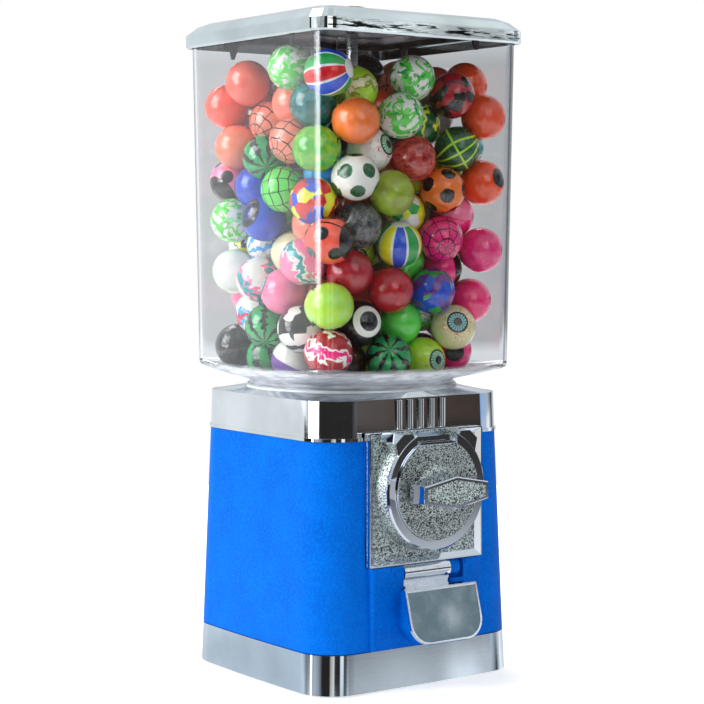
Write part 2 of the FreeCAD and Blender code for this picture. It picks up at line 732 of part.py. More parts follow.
def lid():
    rim = S.lid_half
    outer = loft("lid_outer", square_wire(rim - 0.9, S.lid_round - 0.9, S.lid_low),
                 square_wire(rim, S.lid_round, S.lid_low + 1.2),
                 square_wire(rim, S.lid_round, S.lid_rim_top - 1.0),
                 square_wire(rim - 1.0, S.lid_round, S.lid_rim_top),
                 square_wire(rim - 6.2, S.lid_round - 1, float(S.shoulder_top) - 2.9),
                 square_wire(S.shoulder_half, S.lid_round - 3, S.shoulder_top),
                 square_wire(34, 8, S.lid_crown))
    skirt = loft("lid_skirt", square_wire(86.0, 13.2, float(S.lid_low) - 1),
                 square_wire(86.0, 13.2, float(S.globe_top) + 0.3))
    roof = loft("lid_roof", square_wire(80.2, 10, S.globe_top), square_wire(80.2, 10, 453.4),
                square_wire(72.5, 8, 457.2), square_wire(34, 7, 458.8))
    boss = cylinder("lid_boss", 17, (0, 0, 456), S.lid_boss_top - 456)
    hole = cylinder("lid_rod_hole", S.rod_clear, (0, 0, 450), 20)
    tabs = [lid_tab(f"lid_tab_{quarter}", quarter) for quarter in range(4)]
    hollow = cut("lid_hollow", outer, skirt, roof)
    return done(cut("lid_done", fuse("lid_fused", hollow, boss, *tabs), hole), "lid")


def lock_housing():
    floor = S.lid_boss_top + 1.5
    shell = turned("lock_shell", [
        (S.rod_clear, S.lid_boss_top), (S.lock_radius, S.lid_boss_top),
        (S.lock_radius, S.lock_top - 1.5), (S.lock_radius - 1.5, S.lock_top),
        (S.plug_radius + 0.05, S.lock_top), (S.plug_radius + 0.05, floor), (S.rod_clear, floor)])
    return done(shell, "lock_housing")


def lock_plug():
    floor = S.lid_boss_top + 1.6
    plug = cylinder("plug_round", S.plug_radius, (0, 0, floor), S.lock_top + 1 - floor)
    keyway = block("plug_keyway", (-3.4, 3.4), (-0.7, 0.7), (S.lock_top - 2.5, S.lock_top + 2))
    return done(cut("plug_done", plug, keyway), "lock_plug")


# ---------------------------------------------------------------- coin mechanism
# These parts are drawn about the drive shaft: X across, Y up, Z towards the front.

def rectangle(half, low, high):
    return [(-half, low), (half, low), (half, high), (-half, high)]


def bezel_cut():
    """The sloping inside of the plate's raised border."""
    body = new_body("bezel_cut")
    crest = 0.8
    outer = rectangle(S.plate_half - crest, S.plate_low + crest, S.plate_high - crest)
    inner = rectangle(S.plate_half - S.bezel, S.plate_low + S.bezel, S.plate_high - S.bezel)
    first = outline(body, "bezel_inner", inner, offset=S.field)
    second = outline(body, "bezel_outer", outer, offset=S.plate_front + 0.01)
    slope = body.newObject("PartDesign::AdditiveLoft", "bezel_slope")
    slope.Profile = first
    slope.Sections = [second]
    slope.Ruled = True
    return body


def mech_plate():
    slab = prism("plate_slab", rectangle(S.plate_half, S.plate_low, S.plate_high),
                 S.plate_back, S.plate_front, 0.8)
    boss = block("plate_rear_boss", (-39.5, 39.5), (-42.5, 30.5), (S.rear_boss_back, S.plate_back))
    collar = turned("plate_collar", [
        (0, S.plate_back), (S.collar_base, S.plate_back), (S.collar_base, S.field + 0.6),
        (S.collar_rim, S.collar_front - 1.2), (S.collar_rim - 1.2, S.collar_front),
        (0, S.collar_front)])
    gap = block("plate_gap", (-17.2, 17.2), (29, 60), (S.plate_back - 1, 130))
    crown = block("plate_crown", (-50, 50), (S.plate_high - 0.8, 60), (S.plate_back - 1, 130))
    ears = []
    for side in (-1, 1):
        corners = [(17.2 * side, 27), (17.2 * side, 32.5), (20.6 * side, 38.7),
                   (28.6 * side, 38.7), (35 * side, 33), (33 * side, 24)]
        ears.append(prism(f"plate_ear_{side + 1}", corners, S.field - 1, S.collar_front - 0.3))
    ledge = block("plate_slot_back", (-17.3, 17.3), (28, 36.2), (S.field - 1, S.well_floor))
    well = cylinder("plate_well", S.collar_bore, (0, 0, S.well_floor), 20)
    rear = cylinder("plate_rear_hollow", 34, (0, 0, S.rear_boss_back - 1),
                    S.well_back - S.rear_boss_back + 1)
    bearing = cylinder("plate_bearing", 10, (0, 0, 84.2), S.well_floor - 84.2)
    bore = cylinder("plate_bore", S.bearing_radius, (0, 0, 70), 40)
    coin_exit = block("plate_coin_exit", (-13.4, 13.4), (-33, -12), (S.well_back - 1, 97))
    faced = cut("plate_faced", slab, bezel_cut())
    ring = cut("plate_ring", collar, gap, crown)
    solid_plate = fuse("plate_solid", faced, boss, ring, ledge, *ears)
    hollowed = cut("plate_hollowed", solid_plate, well, rear)
    whole = fuse("plate_whole", hollowed, bearing)
    pin_hole = cylinder("plate_pin_hole", 1.5, (*PAWL_PIVOT, S.well_back - 1), 2.6)
    return done(cut("plate_done", whole, bore, coin_exit, pin_hole), "mech_plate", True)


def front_disc():
    """The round shield that turns with the handle; its flat opens the coin slot at home."""
    disc = cylinder("disc_round", S.disc_radius, (0, 0, S.disc_back), S.disc_front - S.disc_back)
    flat = block("disc_flat_cut", (-40, 40), (S.disc_flat + 1.7, 50),
                 (S.disc_back - 1, S.disc_front + 1))
    step = block("disc_step_cut", (-40, 40), (S.disc_flat, 50),
                 (S.disc_back + 1.3, S.disc_front + 1))
    flare = cone("disc_flare", 18.5, 11.5, (0, 0, S.disc_front), S.handle_back - S.disc_front)
    bore = cylinder("disc_bore", S.shaft_radius, (0, 0, S.disc_back - 1), 12)
    shaped = fuse("disc_shaped", cut("disc_flatted", disc, flat, step), flare)
    return done(cut("disc_done", shaped, bore), "front_disc", True)


def coin_wheel():
    """The thin wheel that carries one coin round in a notch in its rim."""
    wheel = cylinder("coin_wheel_round", S.disc_radius - 0.2, (0, 0, S.well_floor + 0.4),
                     S.disc_back - S.well_floor - 0.4)
    slot = block("coin_notch_mouth", (-12.5, 12.5), (22, 45), (S.well_floor, S.disc_back + 1))
    seat = cylinder("coin_notch_seat", 12.5, (0, 22, S.well_floor), 6)
    bore = cylinder("coin_wheel_bore", S.shaft_radius, (0, 0, S.well_floor - 1), 12)
    return done(cut("coin_wheel_done", wheel, slot, seat, bore), "coin_wheel", True)


def handle():
    """The turning handle: a long hexagonal bar that narrows forwards, with a sunk face."""
    half = S.handle_half

    def hexagon_outline(reach, end, middle):
        return [(-reach, -end), (0, -middle), (reach, -end), (reach, end), (0, middle),
                (-reach, end)]

    bar = new_body("handle_bar")
    back = outline(bar, "handle_rear", hexagon_outline(half + 0.3, 6.9, 12.9),
                   offset=S.handle_back)
    shoulder = outline(bar, "handle_shoulder", hexagon_outline(half, 5.7, 10.8),
                       offset=S.handle_front - 0.8)
    front = outline(bar, "handle_face", hexagon_outline(half - 0.6, 5.2, 10.2),
                    offset=S.handle_front)
    body = bar.newObject("PartDesign::AdditiveLoft", "handle_loft")
    body.Profile = back
    body.Sections = [shoulder, front]
    body.Ruled = True
    doc.recompute()
    sunk = outline(bar, "handle_sunk", hexagon_outline(half - 2.5, 4.0, 8.6),
                   offset=S.handle_front + 0.01)
    pocket(bar, sunk, 0.9)
    bore = cylinder("handle_bore", S.shaft_radius, (0, 0, S.handle_back - 1), 9)
    return done(cut("handle_done", bar, bore), "handle", True)


def drive_shaft():
    length = S.handle_back + 8 - 56.8
    return done(cylinder("shaft", S.shaft_radius, (0, -56.8, S.shaft_height), length, "front"),
                "drive_shaft")


def ratchet_wheel():
    teeth = gear("ratchet_blank", RATCHET_TEETH, 17.0, 20.0, 3.6, 0.6, 80.4, 83.4, lean=2.4)
    pocket(teeth, circle(teeth, "ratchet_bore", S.shaft_radius, offset=84), 5)
    return done(teeth, "ratchet_wheel", True)


def drive_gear():
    teeth = gear("drive_gear_blank", SIDE_GEAR_TEETH, 7.7, 11.6, 1.75, 0.55,
                 S.gear_back, S.gear_front)
    pad(teeth, circle(teeth, "drive_gear_hub", 7.4, offset=S.gear_front), 1.9)
    pocket(teeth, circle(teeth, "drive_gear_bore", S.shaft_radius, offset=S.gear_front + 3), 9)
    return done(teeth, "drive_gear", True)


def idler_gear():
    """The idler stands above the drive gear, half a tooth round so that the two mesh."""
    teeth = gear("idler_blank", IDLER_TEETH, 8.7, 12.6, 1.75, 0.55, S.gear_back, S.gear_front)
    pad(teeth, circle(teeth, "idler_hub", 4.9, offset=S.gear_front), 1.9)
    pocket(teeth, circle(teeth, "idler_bore", 3.05, offset=S.gear_front + 3), 9)
    done(teeth, "idler_gear")
    quarter_turn = Rotation(Vector(0, 0, 1), -90)
    place(teeth, (0, 0, S.shaft_height + S.idler_rise), TURNS["front"].multiply(quarter_turn))
    return teeth


def shaft_clip():
    clip = cut("clip_cut", cylinder("clip_round", 8, (0, 0, 57.2), 0.9),
               cylinder("clip_bore", S.shaft_radius, (0, 0, 56), 3),
               block("clip_mouth", (-3.4, 3.4), (0, 12), (56, 60)))
    return done(clip, "shaft_clip", True)


def mech_frame():
    plate = prism("frame_plate", rectangle(38.0, -37, 25.4), S.frame_back, S.frame_front, 3)
    shaft_hole = cylinder("frame_shaft_hole", S.bearing_radius, (0, 0, 60), 10)
    stud_hole = cylinder("frame_stud_hole", 3, (0, S.idler_rise, 60), 10)
    screw_holes = [cylinder(f"frame_hole_{i}", 1.7, (x, y, 60), 10)
                   for i, (x, y) in enumerate(post_places())]
    return done(cut("frame_done", plate, shaft_hole, stud_hole, *screw_holes), "mech_frame", True)


def post_places():
    return [(x, y) for x in (-33.5, 33.5) for y in (-32.0, 20.0)]


def mech_posts():
    posts = []
    for i, (x, y) in enumerate(post_places()):
        bar = cylinder(f"post_{i}", 3.6, (x, y, S.frame_front), S.rear_boss_back - S.frame_front)
        hole = cylinder(f"post_hole_{i}", 1.5, (x, y, S.frame_front - 1), 9)
        posts.append(cut(f"post_cut_{i}", bar, hole))
    return done(fuse("posts", *posts), "mech_posts", True)


def mech_screws():
    screws = []
    for i, (x, y) in enumerate(post_places()):
        head = cylinder(f"mech_screw_head_{i}", 3.2, (x, y, S.frame_back - 2.2), 2.2)
        shank = cylinder(f"mech_screw_shank_{i}", 1.5, (x, y, S.frame_back - 1), 11)
        screws.append(fuse(f"mech_screw_{i}", head, shank))
    return done(fuse("mech_screw_set", *screws), "mech_screws", True)


def plate_screws():
    """Screws that hold the mechanism's plate, driven from inside the body."""
    screws = []
    for i, (x, z) in enumerate(plate_screw_places()):
        y = z - float(S.shaft_height)
        head = cylinder(f"plate_screw_head_{i}", 3.6, (x, y, 73.6), 2.4)
        shank = cylinder(f"plate_screw_shank_{i}", 2.0, (x, y, 75), S.seat_front - 75)
        screws.append(fuse(f"plate_screw_{i}", head, shank))
    return done(fuse("plate_screw_set", *screws), "plate_screws", True)


def idler_stud():
    head = cylinder("stud_head", 4.6, (0, S.idler_rise, 56.6), 1.3)
    shank = cylinder("stud_shank", 3.0, (0, S.idler_rise, 57), S.frame_front - 57)
    return done(fuse("stud_done", head, shank), "idler_stud", True)


PAWL_PIVOT = (-23.5, 13.0)
PAWL_LIFT = 15.5


def on_pawl(along, across):
    """A point on the pawl, measured along its arm from the pivot; it is drawn lifted."""
    angle = math.radians(PAWL_LIFT)
    x, y = PAWL_PIVOT
    return (x + along * math.cos(angle) - across * math.sin(angle),
            y + along * math.sin(angle) + across * math.cos(angle))


def pawl():
    """The pawl that drops between ratchet teeth, so the handle can't be turned back."""
    arm = prism("pawl_arm", [on_pawl(0.9, -3.2), on_pawl(11.0, 0.1), on_pawl(10.0, 3.4),
                             on_pawl(0.9, 3.4)], 80.6, 83.2)
    eye = cylinder("pawl_eye", 3.6, (*PAWL_PIVOT, 80.6), 2.6)
    hole = cylinder("pawl_hole", 1.55, (*PAWL_PIVOT, 79), 6)
    return done(cut("pawl_done", fuse("pawl_whole", arm, eye), hole), "pawl", True)


def pawl_pin():
    x, y = PAWL_PIVOT
    return done(cylinder("pawl_pin_bar", 1.5, (x, -79.6, S.shaft_height + y),
                         S.well_back + 1.4 - 79.6, "front"), "pawl_pin")


def pawl_spring():
    """A torsion spring wound round the pawl's pin, its leg lying on the pawl's back."""
    x, y = PAWL_PIVOT
    coils = []
    for turn in range(8):
        coil = doc.addObject("Part::Torus", f"spring_coil_{turn}")
        coil.Radius1 = 2.5
        coil.Radius2 = 0.5
        coils.append(place(coil, (x, y, 83.8 + 0.95 * turn)))
    leg = prism("spring_leg", [on_pawl(0, 3.65), on_pawl(8.5, 3.65), on_pawl(8.5, 4.3),
                               on_pawl(0, 4.3)], 82.2, 83.9)
    riser = prism("spring_riser", [on_pawl(0, 2.5), on_pawl(0.8, 2.5), on_pawl(0.8, 4.3),
                                   on_pawl(0, 4.3)], 83.5, 84.3)
    return done(fuse("spring_done", leg, riser, *coils), "pawl_spring", True)


# ---------------------------------------------------------------- chute and door

def chute_form(name, radius, extra):
    """A round duct that drops from the housing's outlet and bends to the front of the body."""
    body = new_body(name)
    top, bend, swing = 163.0 + extra, 105.5, 32.0
    y = -float(S.pocket_pitch)
    angle = math.radians(55)
    path = new_sketch(body, f"{name}_path", "YZ_Plane")
    centre_y = y - swing
    bend_end = Vector(centre_y + swing * math.cos(angle), bend - swing * math.sin(angle), 0)
    bend_middle = Vector(centre_y + swing * math.cos(angle / 2),
                         bend - swing * math.sin(angle / 2), 0)
    reach = 36.0 + extra
    end = bend_end + Vector(-math.sin(angle), -math.cos(angle), 0) * reach
    path.addGeometry(Part.LineSegment(Vector(y, top, 0), Vector(y, bend, 0)), False)
    path.addGeometry(Part.Arc(bend_end, bend_middle, Vector(y, bend, 0)), False)
    path.addGeometry(Part.LineSegment(bend_end, end), False)
    path.addConstraint(Sketcher.Constraint("Coincident", 0, 2, 1, 2))
    path.addConstraint(Sketcher.Constraint("Coincident", 1, 1, 2, 1))
    section = circle(body, f"{name}_section", radius, (0, y), offset=top)
    pipe = body.newObject("PartDesign::AdditivePipe", f"{name}_pipe")
    pipe.Profile = section
    pipe.Spine = (path, [""])
    return body


def ball_chute():
    outer = chute_form("chute_outer", 19.4, 0.0)
    inner = chute_form("chute_inner", 17.8, 2.0)
    flange = cylinder("chute_flange", 19.9, (0, -S.pocket_pitch, 161), 2.0)
    trim = block("chute_trim", (-30, 30), (-140, -76.8), (0, 120))
    floor_trim = block("chute_floor_trim", (-30, 30), (-140, 0), (0, S.base_top + 1))
    shell = cut("chute_shell", fuse("chute_solid", outer, flange), inner, trim, floor_trim)
    return done(shell, "ball_chute")


def chute_door():
    """The flap: a hinge barrel, a shelf and a leaning face with round lower corners."""
    barrel = cylinder("door_barrel", S.barrel_radius, (-S.barrel_half, S.hinge_y, S.hinge_z),
                      S.barrel_half * 2, "x")
    web = block("door_web", (-S.barrel_half, S.barrel_half), (-87, -81.6), (69.3, 76))
    shelf = prism("door_shelf", [
        (-30.5, -104.2), (30.5, -104.2), (30.5, -102), (S.barrel_half, -90.6),
        (S.barrel_half, -81.6), (-S.barrel_half, -81.6), (-S.barrel_half, -90.6), (-30.5, -102)],
        69.3, 71.0)
    face = new_body("door_face")
    tall = 37.6
    shape = [(-30.5, 0), (-30.5, -tall), (30.5, -tall), (30.5, 0)]
    slab = pad(face, outline(face, "door_face_outline", shape), 2.6)
    doc.recompute()
    low_edges = []
    for number, edge in enumerate(slab.Shape.Edges, start=1):
        box = edge.BoundBox
        if box.ZLength > 1 and box.YMax < -tall + 1:
            low_edges.append(f"Edge{number}")
    rounded(face, slab, low_edges, 14.5)
    panel = [(29.3, -1.2), (-29.3, -1.2)]
    for side, first in ((-1, 180), (1, 270)):
        for degrees in range(first, first + 91, 15):
            angle = math.radians(degrees)
            panel.append((16.0 * side + 13.3 * math.cos(angle),
                          -tall + 14.5 + 13.3 * math.sin(angle)))
    pocket(face, outline(face, "door_panel", panel, offset=2.7), 0.6)
    lean = math.degrees(math.atan2(10.0, 36.2))
    place(face, (0, -101.5, 71.0), Rotation(Vector(1, 0, 0), 90 - lean))
    bore = cylinder("door_bore", S.pin_bore, (-30, S.hinge_y, S.hinge_z), 60, "x")
    return done(cut("door_done", fuse("door_whole", barrel, web, shelf, face), bore), "chute_door")


def door_pin():
    return done(cylinder("pin", S.pin_radius, (-28.8, S.hinge_y, S.hinge_z), 57.6, "x"), "door_pin")


# ---------------------------------------------------------------- balls

def ring_point(half, corner, height, sag, degrees):
    """A point on a rounded-square section of the globe, in a direction from its axis."""
    c, s = math.cos(math.radians(degrees)), math.sin(math.radians(degrees))
    flat = half - corner
    reach = half / max(abs(c), abs(s))
    along = min(abs(c), abs(s)) * reach
    if along >= flat:
        spread = flat * (abs(c) + abs(s))
        reach = spread + math.sqrt(max(spread * spread - 2 * flat * flat + corner * corner, 0))
        return Vector(reach * c, reach * s, height)
    return Vector(reach * c, reach * s, height - sag * (1 - (along / flat) ** 2))


def pan_points():
    """Points all over the inside of the globe's bottom, from the neck outwards."""
    rim = float(S.neck_inner)
    rings = [(rim, rim, float(S.flare_low) + 2.3, 0.0)] + globe_rings(float(S.globe_wall))
    points = []
    for degrees in range(0, 360, 3):
        row = [ring_point(*ring, degrees) for ring in rings]
        for inner, outer in zip(row, row[1:]):
            points += [inner * (1 - share) + outer * share for share in (0.0, 0.25, 0.5, 0.75)]
    return [(point.x, point.y, point.z + 0.5) for point in points]


def landing(x, y, balls, pan, radius):
    """The height at which a ball let down at x, y first rests on something."""
    apart = 2 * radius
    height = float(S.wheel_top) + 6.6 + radius
    if math.hypot(x, y) < radius + 13.3:
        height = 226.0
    for bx, by, bz in balls:
        square = (x - bx) ** 2 + (y - by) ** 2
        if square < apart * apart:
            height = max(height, bz + math.sqrt(apart * apart - square))
    if height < 250:
        for px, py, pz in pan:
            square = (x - px) ** 2 + (y - py) ** 2
            if square < radius * radius:
                height = max(height, pz + math.sqrt(radius * radius - square))
    return height


def within(x, y, z, radius):
    """Keep a ball inside the globe's walls and clear of the rod."""
    rise = (float(S.globe_half_top) - float(S.globe_half_low)) / 228.0
    limit = float(S.globe_half_low - S.globe_wall) - radius + rise * (z - 221.0)
    away = math.hypot(x, y) or 1e-6
    if away < radius + 4.3:
        x, y = x * (radius + 4.3) / away, y * (radius + 4.3) / away
    return min(max(x, -limit), limit), min(max(y, -limit), limit)


def roll(x, y, balls, pan, radius):
    """Let a ball roll down from x, y until every way leads up; gives its resting centre."""
    near = [ball for ball in balls if abs(ball[0] - x) < 90 and abs(ball[1] - y) < 90]
    height = landing(x, y, near, pan, radius)
    step = 9.0
    while step > 0.04:
        best = (height, x, y)
        for number in range(8):
            angle = math.pi / 4 * number
            u, v = within(x + step * math.cos(angle), y + step * math.sin(angle),
                          height, radius)
            best = min(best, (landing(u, v, near, pan, radius), u, v))
        if best[0] < height - 1e-4:
            height, x, y = best
        else:
            step /= 2
    for _ in range(3):
        x, y = within(x, y, height - 0.5, radius)
        height = landing(x, y, balls, pan, radius)
    return height, x, y


def settle(seed):
    """Fill the globe with balls, each coming to rest at the lowest place it can roll to."""
    draw = random.Random(seed)
    radius = float(S.ball_radius) + 0.03
    ceiling = float(S.globe_top) - 9.2 - radius
    tips = [Rotation(Vector(0, 0, 1), 90 * quarter).multVec(Vector(46.5, -81.2, 0))
            for quarter in range(4)]
    pan = pan_points()
    balls, misses = [], 0
    while misses < 4:
        upper = sorted(balls, key=lambda ball: ball[2])[-75:]
        places = []
        for _ in range(12):
            x, y = within(draw.uniform(-66, 66), draw.uniform(-66, 66), 300, radius)
            height, x, y = roll(x, y, upper, pan, radius)
            drop = max(436.5 - height, 0)
            by_tab = any(math.sqrt((x - tip.x) ** 2 + (y - tip.y) ** 2 + drop ** 2)
                         < radius + 3.4 for tip in tips)
            if height < ceiling and not by_tab:
                places.append((height, x, y))
        if places:
            height, x, y = min(places)
            balls.append((x, y, height))
        else:
            misses += 1
    return sorted(balls, key=lambda ball: ball[2])


def loose_balls():
    """The balls in the globe, in groups of 38 that share a node."""
    group_size = 38
    centres = settle(5)
    for first in range(0, len(centres), group_size):
        number = first // group_size + 1
        spheres = []
        for i, centre in enumerate(centres[first:first + group_size]):
            ball = doc.addObject("Part::Sphere", f"ball_{number}_{i}")
            bind(ball, "Radius", S.ball_radius)
            spheres.append(place(ball, centre))
        heap = doc.addObject("Part::Compound", f"balls_{number}")
        heap.Links = spheres
        done(heap, f"balls_layer_{number}")
    return centres


def loaded_balls():
    """The balls waiting in the wheel's pockets; the pocket over the outlet has dropped its own."""
    spheres = []
    for number in range(1, POCKETS):
        angle = math.radians(-90 + 360 / POCKETS * number)
        ball = doc.addObject("Part::Sphere", f"loaded_{number}")
        bind(ball, "Radius", S.ball_radius)
        spheres.append(place(ball, (float(S.pocket_pitch) * math.cos(angle),
                                    float(S.pocket_pitch) * math.sin(angle),
                                    float(S.housing_floor) + 0.7 + float(S.ball_radius))))
    heap = doc.addObject("Part::Compound", "loaded")
    heap.Links = spheres
    return done(heap, "loaded_balls")


# ---------------------------------------------------------------- assembly

def brush():
    return done(fuse("brush_strips", *wiper_brush()), "wiper_brush")


for make in (base_tray, rubber_feet, coin_tray, body_shell, top_ring, wheel_housing, ball_wheel,
             agitator, brush_cover, brush, globe_gasket, centre_rod, rod_nut, rod_washer,
             globe, lid, lock_housing, lock_plug, mech_plate, front_disc, coin_wheel, handle,
             drive_shaft, ratchet_wheel, drive_gear, idler_gear, shaft_clip, mech_frame,
             mech_posts, mech_screws, plate_screws, idler_stud, pawl, pawl_pin, pawl_spring,
             ball_chute, chute_door, door_pin, loose_balls, loaded_balls):
    make()

doc.recompute()

faults = [f"{thing.Label}: {thing.State}" for thing in doc.Objects
          if "Invalid" in thing.State or "Error" in thing.State]
for part in subparts:
    if part.Shape.isNull() or not part.Shape.isValid() or not part.Shape.Solids:
        faults.append(f"{part.Label}: bad shape")
if faults:
    raise RuntimeError("; ".join(faults))

os.makedirs("parts", exist_ok=True)
for part in subparts:
    part.Shape.exportStep(f"parts/{part.Label}.step")
print(len(subparts), "parts written")
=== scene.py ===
import math
import random

import bmesh
import bpy
from mathutils import Euler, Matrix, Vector


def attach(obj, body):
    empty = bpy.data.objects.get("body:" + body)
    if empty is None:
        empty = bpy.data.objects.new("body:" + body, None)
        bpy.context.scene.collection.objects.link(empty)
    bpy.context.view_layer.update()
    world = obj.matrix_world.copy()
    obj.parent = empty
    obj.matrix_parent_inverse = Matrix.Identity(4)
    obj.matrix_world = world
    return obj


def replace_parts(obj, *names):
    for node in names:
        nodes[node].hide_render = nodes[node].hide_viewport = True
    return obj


# The looks of a table-top gumball machine: chrome base, ring and lid, a blue painted body, a
# sand-cast coin mechanism, and a clear square globe full of patterned rubber balls.

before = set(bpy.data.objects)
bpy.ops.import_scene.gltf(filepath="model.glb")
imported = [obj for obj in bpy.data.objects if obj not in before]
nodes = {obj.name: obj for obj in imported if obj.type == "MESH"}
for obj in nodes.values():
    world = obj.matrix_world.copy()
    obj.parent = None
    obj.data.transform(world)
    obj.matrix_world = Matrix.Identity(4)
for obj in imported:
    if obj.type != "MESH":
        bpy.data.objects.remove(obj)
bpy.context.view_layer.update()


# ---------------------------------------------------------------- shader building blocks

class Surface:
    """A material with one Principled shader, and short names for the nodes that feed it."""

    def __init__(self, name, **sockets):
        self.material = bpy.data.materials.new(name)
        self.material.use_nodes = True
        self.tree = self.material.node_tree
        self.shader = self.tree.nodes["Principled BSDF"]
        for socket, value in sockets.items():
            self.shader.inputs[socket.replace("_", " ")].default_value = value

    def node(self, kind, values=None, **settings):
        """Add a node; each value is a number, a colour or another node's output."""
        made = self.tree.nodes.new(f"ShaderNode{kind}")
        for setting, value in settings.items():
            setattr(made, setting, value)
        for socket, value in (values or {}).items():
            if isinstance(value, bpy.types.NodeSocket):
                self.tree.links.new(value, made.inputs[socket])
            else:
                made.inputs[socket].default_value = value
        return made

    def feed(self, socket, output):
        self.tree.links.new(output, self.shader.inputs[socket])

    def place(self):
        return self.node("TexCoord").outputs["Object"]

    def attribute(self, name, output="Color"):
        return self.node("Attribute", attribute_name=name).outputs[output]

    def math(self, operation, a, b=0.0, c=0.0):
        return self.node("Math", {0: a, 1: b, 2: c}, operation=operation).outputs[0]

    def parts(self, vector):
        split = self.node("SeparateXYZ", {0: vector})
        return split.outputs[0], split.outputs[1], split.outputs[2]

    def noise(self, at, scale, detail=2.0, distortion=0.0, rough=0.5, output=0):
        made = self.node("TexNoise", {"Vector": at, "Scale": scale, "Detail": detail,
                                      "Distortion": distortion, "Roughness": rough})
        return made.outputs[output]

    def voronoi(self, at, scale, feature="F1", output="Distance"):
        made = self.node("TexVoronoi", {"Vector": at, "Scale": scale}, feature=feature)
        return made.outputs[output]

    def step(self, value, low, high, start=0.0, end=1.0):
        """Remap a value smoothly from low..high to start..end."""
        made = self.node("MapRange", {"Value": value, "From Min": low, "From Max": high,
                                      "To Min": start, "To Max": end},
                         interpolation_type="SMOOTHSTEP")
        return made.outputs[0]

    def mix(self, share, a, b):
        made = self.node("Mix", data_type="RGBA")
        for socket, value in ((0, share), (6, a), (7, b)):
            if isinstance(value, bpy.types.NodeSocket):
                self.tree.links.new(value, made.inputs[socket])
            else:
                made.inputs[socket].default_value = value
        return made.outputs[2]

    def bump(self, height, distance, strength=1.0, after=None):
        values = {"Height": height, "Distance": distance, "Strength": strength}
        if after is not None:
            values["Normal"] = after
        return self.node("Bump", values).outputs[0]

    def scaled(self, vector, x, y, z):
        return self.node("Mapping", {"Vector": vector, "Scale": (x, y, z)}).outputs[0]

    def any_of(self, *shares):
        total = shares[0]
        for share in shares[1:]:
            total = self.math("MAXIMUM", total, share)
        return total

    def all_of(self, *shares):
        total = shares[0]
        for share in shares[1:]:
            total = self.math("MULTIPLY", total, share)
        return total

    def between(self, value, low, high):
        """1 where the value lies between two limits, else 0."""
        return self.all_of(self.math("GREATER_THAN", value, low),
                           self.math("LESS_THAN", value, high))


def rgb(red, green, blue):
    """A colour given as it looks on screen, 0 to 255, turned into scene light."""
    def linear(value):
        value /= 255
        return value / 12.92 if value <= 0.04045 else ((value + 0.055) / 1.055) ** 2.4
    return (linear(red), linear(green), linear(blue), 1.0)


def dress(material, *names):
    """Give CAD nodes a material in every slot."""
    for name in names:
        mesh = nodes[name].data
        if not mesh.materials:
            mesh.materials.append(material)
        for index in range(len(mesh.materials)):
            mesh.materials[index] = material


# ---------------------------------------------------------------- metals and plastics

def chrome(name, tint):
    """Plated metal: slightly wavy, with fine wipe marks and a few dull patches."""
    s = Surface(name, Metallic=1.0)
    at = s.place()
    cloud = s.noise(at, 22.0, 3.0)
    wipe = s.noise(s.scaled(at, 30.0, 30.0, 260.0), 3.0, 4.0)
    dull = s.step(cloud, 0.45, 0.8, 0.03, 0.08)
    s.feed("Roughness", s.math("ADD", dull, s.step(wipe, 0.55, 0.8, 0.0, 0.03)))
    s.feed("Base Color", s.mix(s.step(cloud, 0.3, 0.75), rgb(*tint),
                               rgb(*(channel * 0.9 for channel in tint))))
    waves = s.noise(at, 14.0, 1.0)
    s.feed("Normal", s.bump(wipe, 0.00001, 0.3, s.bump(waves, 0.00024)))
    return s


def lid_metal():
    """Chrome outside, with a painted dark reflection line along the rim's front; over the balls, dull
    casting whose dark grey is partly painted shade.
    """
    s = chrome("lid_chrome", (214, 224, 226))
    at = s.place()
    x, y, z = s.parts(at)
    # The faces over the balls that do not face up are dull cast metal; their dark grey is also painted
    # shade under the lid.
    not_up = s.math("LESS_THAN", s.parts(s.node("NewGeometry").outputs["Normal"])[2], 0.3)
    inner = s.math("LESS_THAN", s.any_of(s.math("ABSOLUTE", x), s.math("ABSOLUTE", y)), 0.084)
    inside = s.all_of(not_up, inner)
    stain = s.noise(at, 60.0, 4.0)
    dull = s.mix(s.step(stain, 0.3, 0.7), rgb(58, 52, 54), rgb(96, 90, 92))
    for socket, plain in (("Base Color", dull), ("Roughness", s.step(stain, 0.3, 0.7, 0.3, 0.45))):
        bright = s.shader.inputs[socket].links[0].from_socket
        s.feed(socket, s.mix(inside, bright, plain))
    # Painted reflection: a ragged dark line along the middle of the rim's front, where the chrome
    # mirrors a dark band.
    rim_middle = 0.4473
    painted_reflection_noise = s.noise(s.scaled(at, 45.0, 1.0, 420.0), 1.0, 4.0, rough=0.65)
    middle = s.step(s.math("ABSOLUTE", s.math("SUBTRACT", z, rim_middle)), 0.0018, 0.0036, 1.0, 0.0)
    streak = s.all_of(s.math("LESS_THAN", y, -0.0872), middle, s.step(painted_reflection_noise, 0.5, 0.56))
    before_reflection = s.shader.inputs["Base Color"].links[0].from_socket
    s.feed("Base Color", s.mix(streak, before_reflection, rgb(24, 26, 28)))
    return s.material


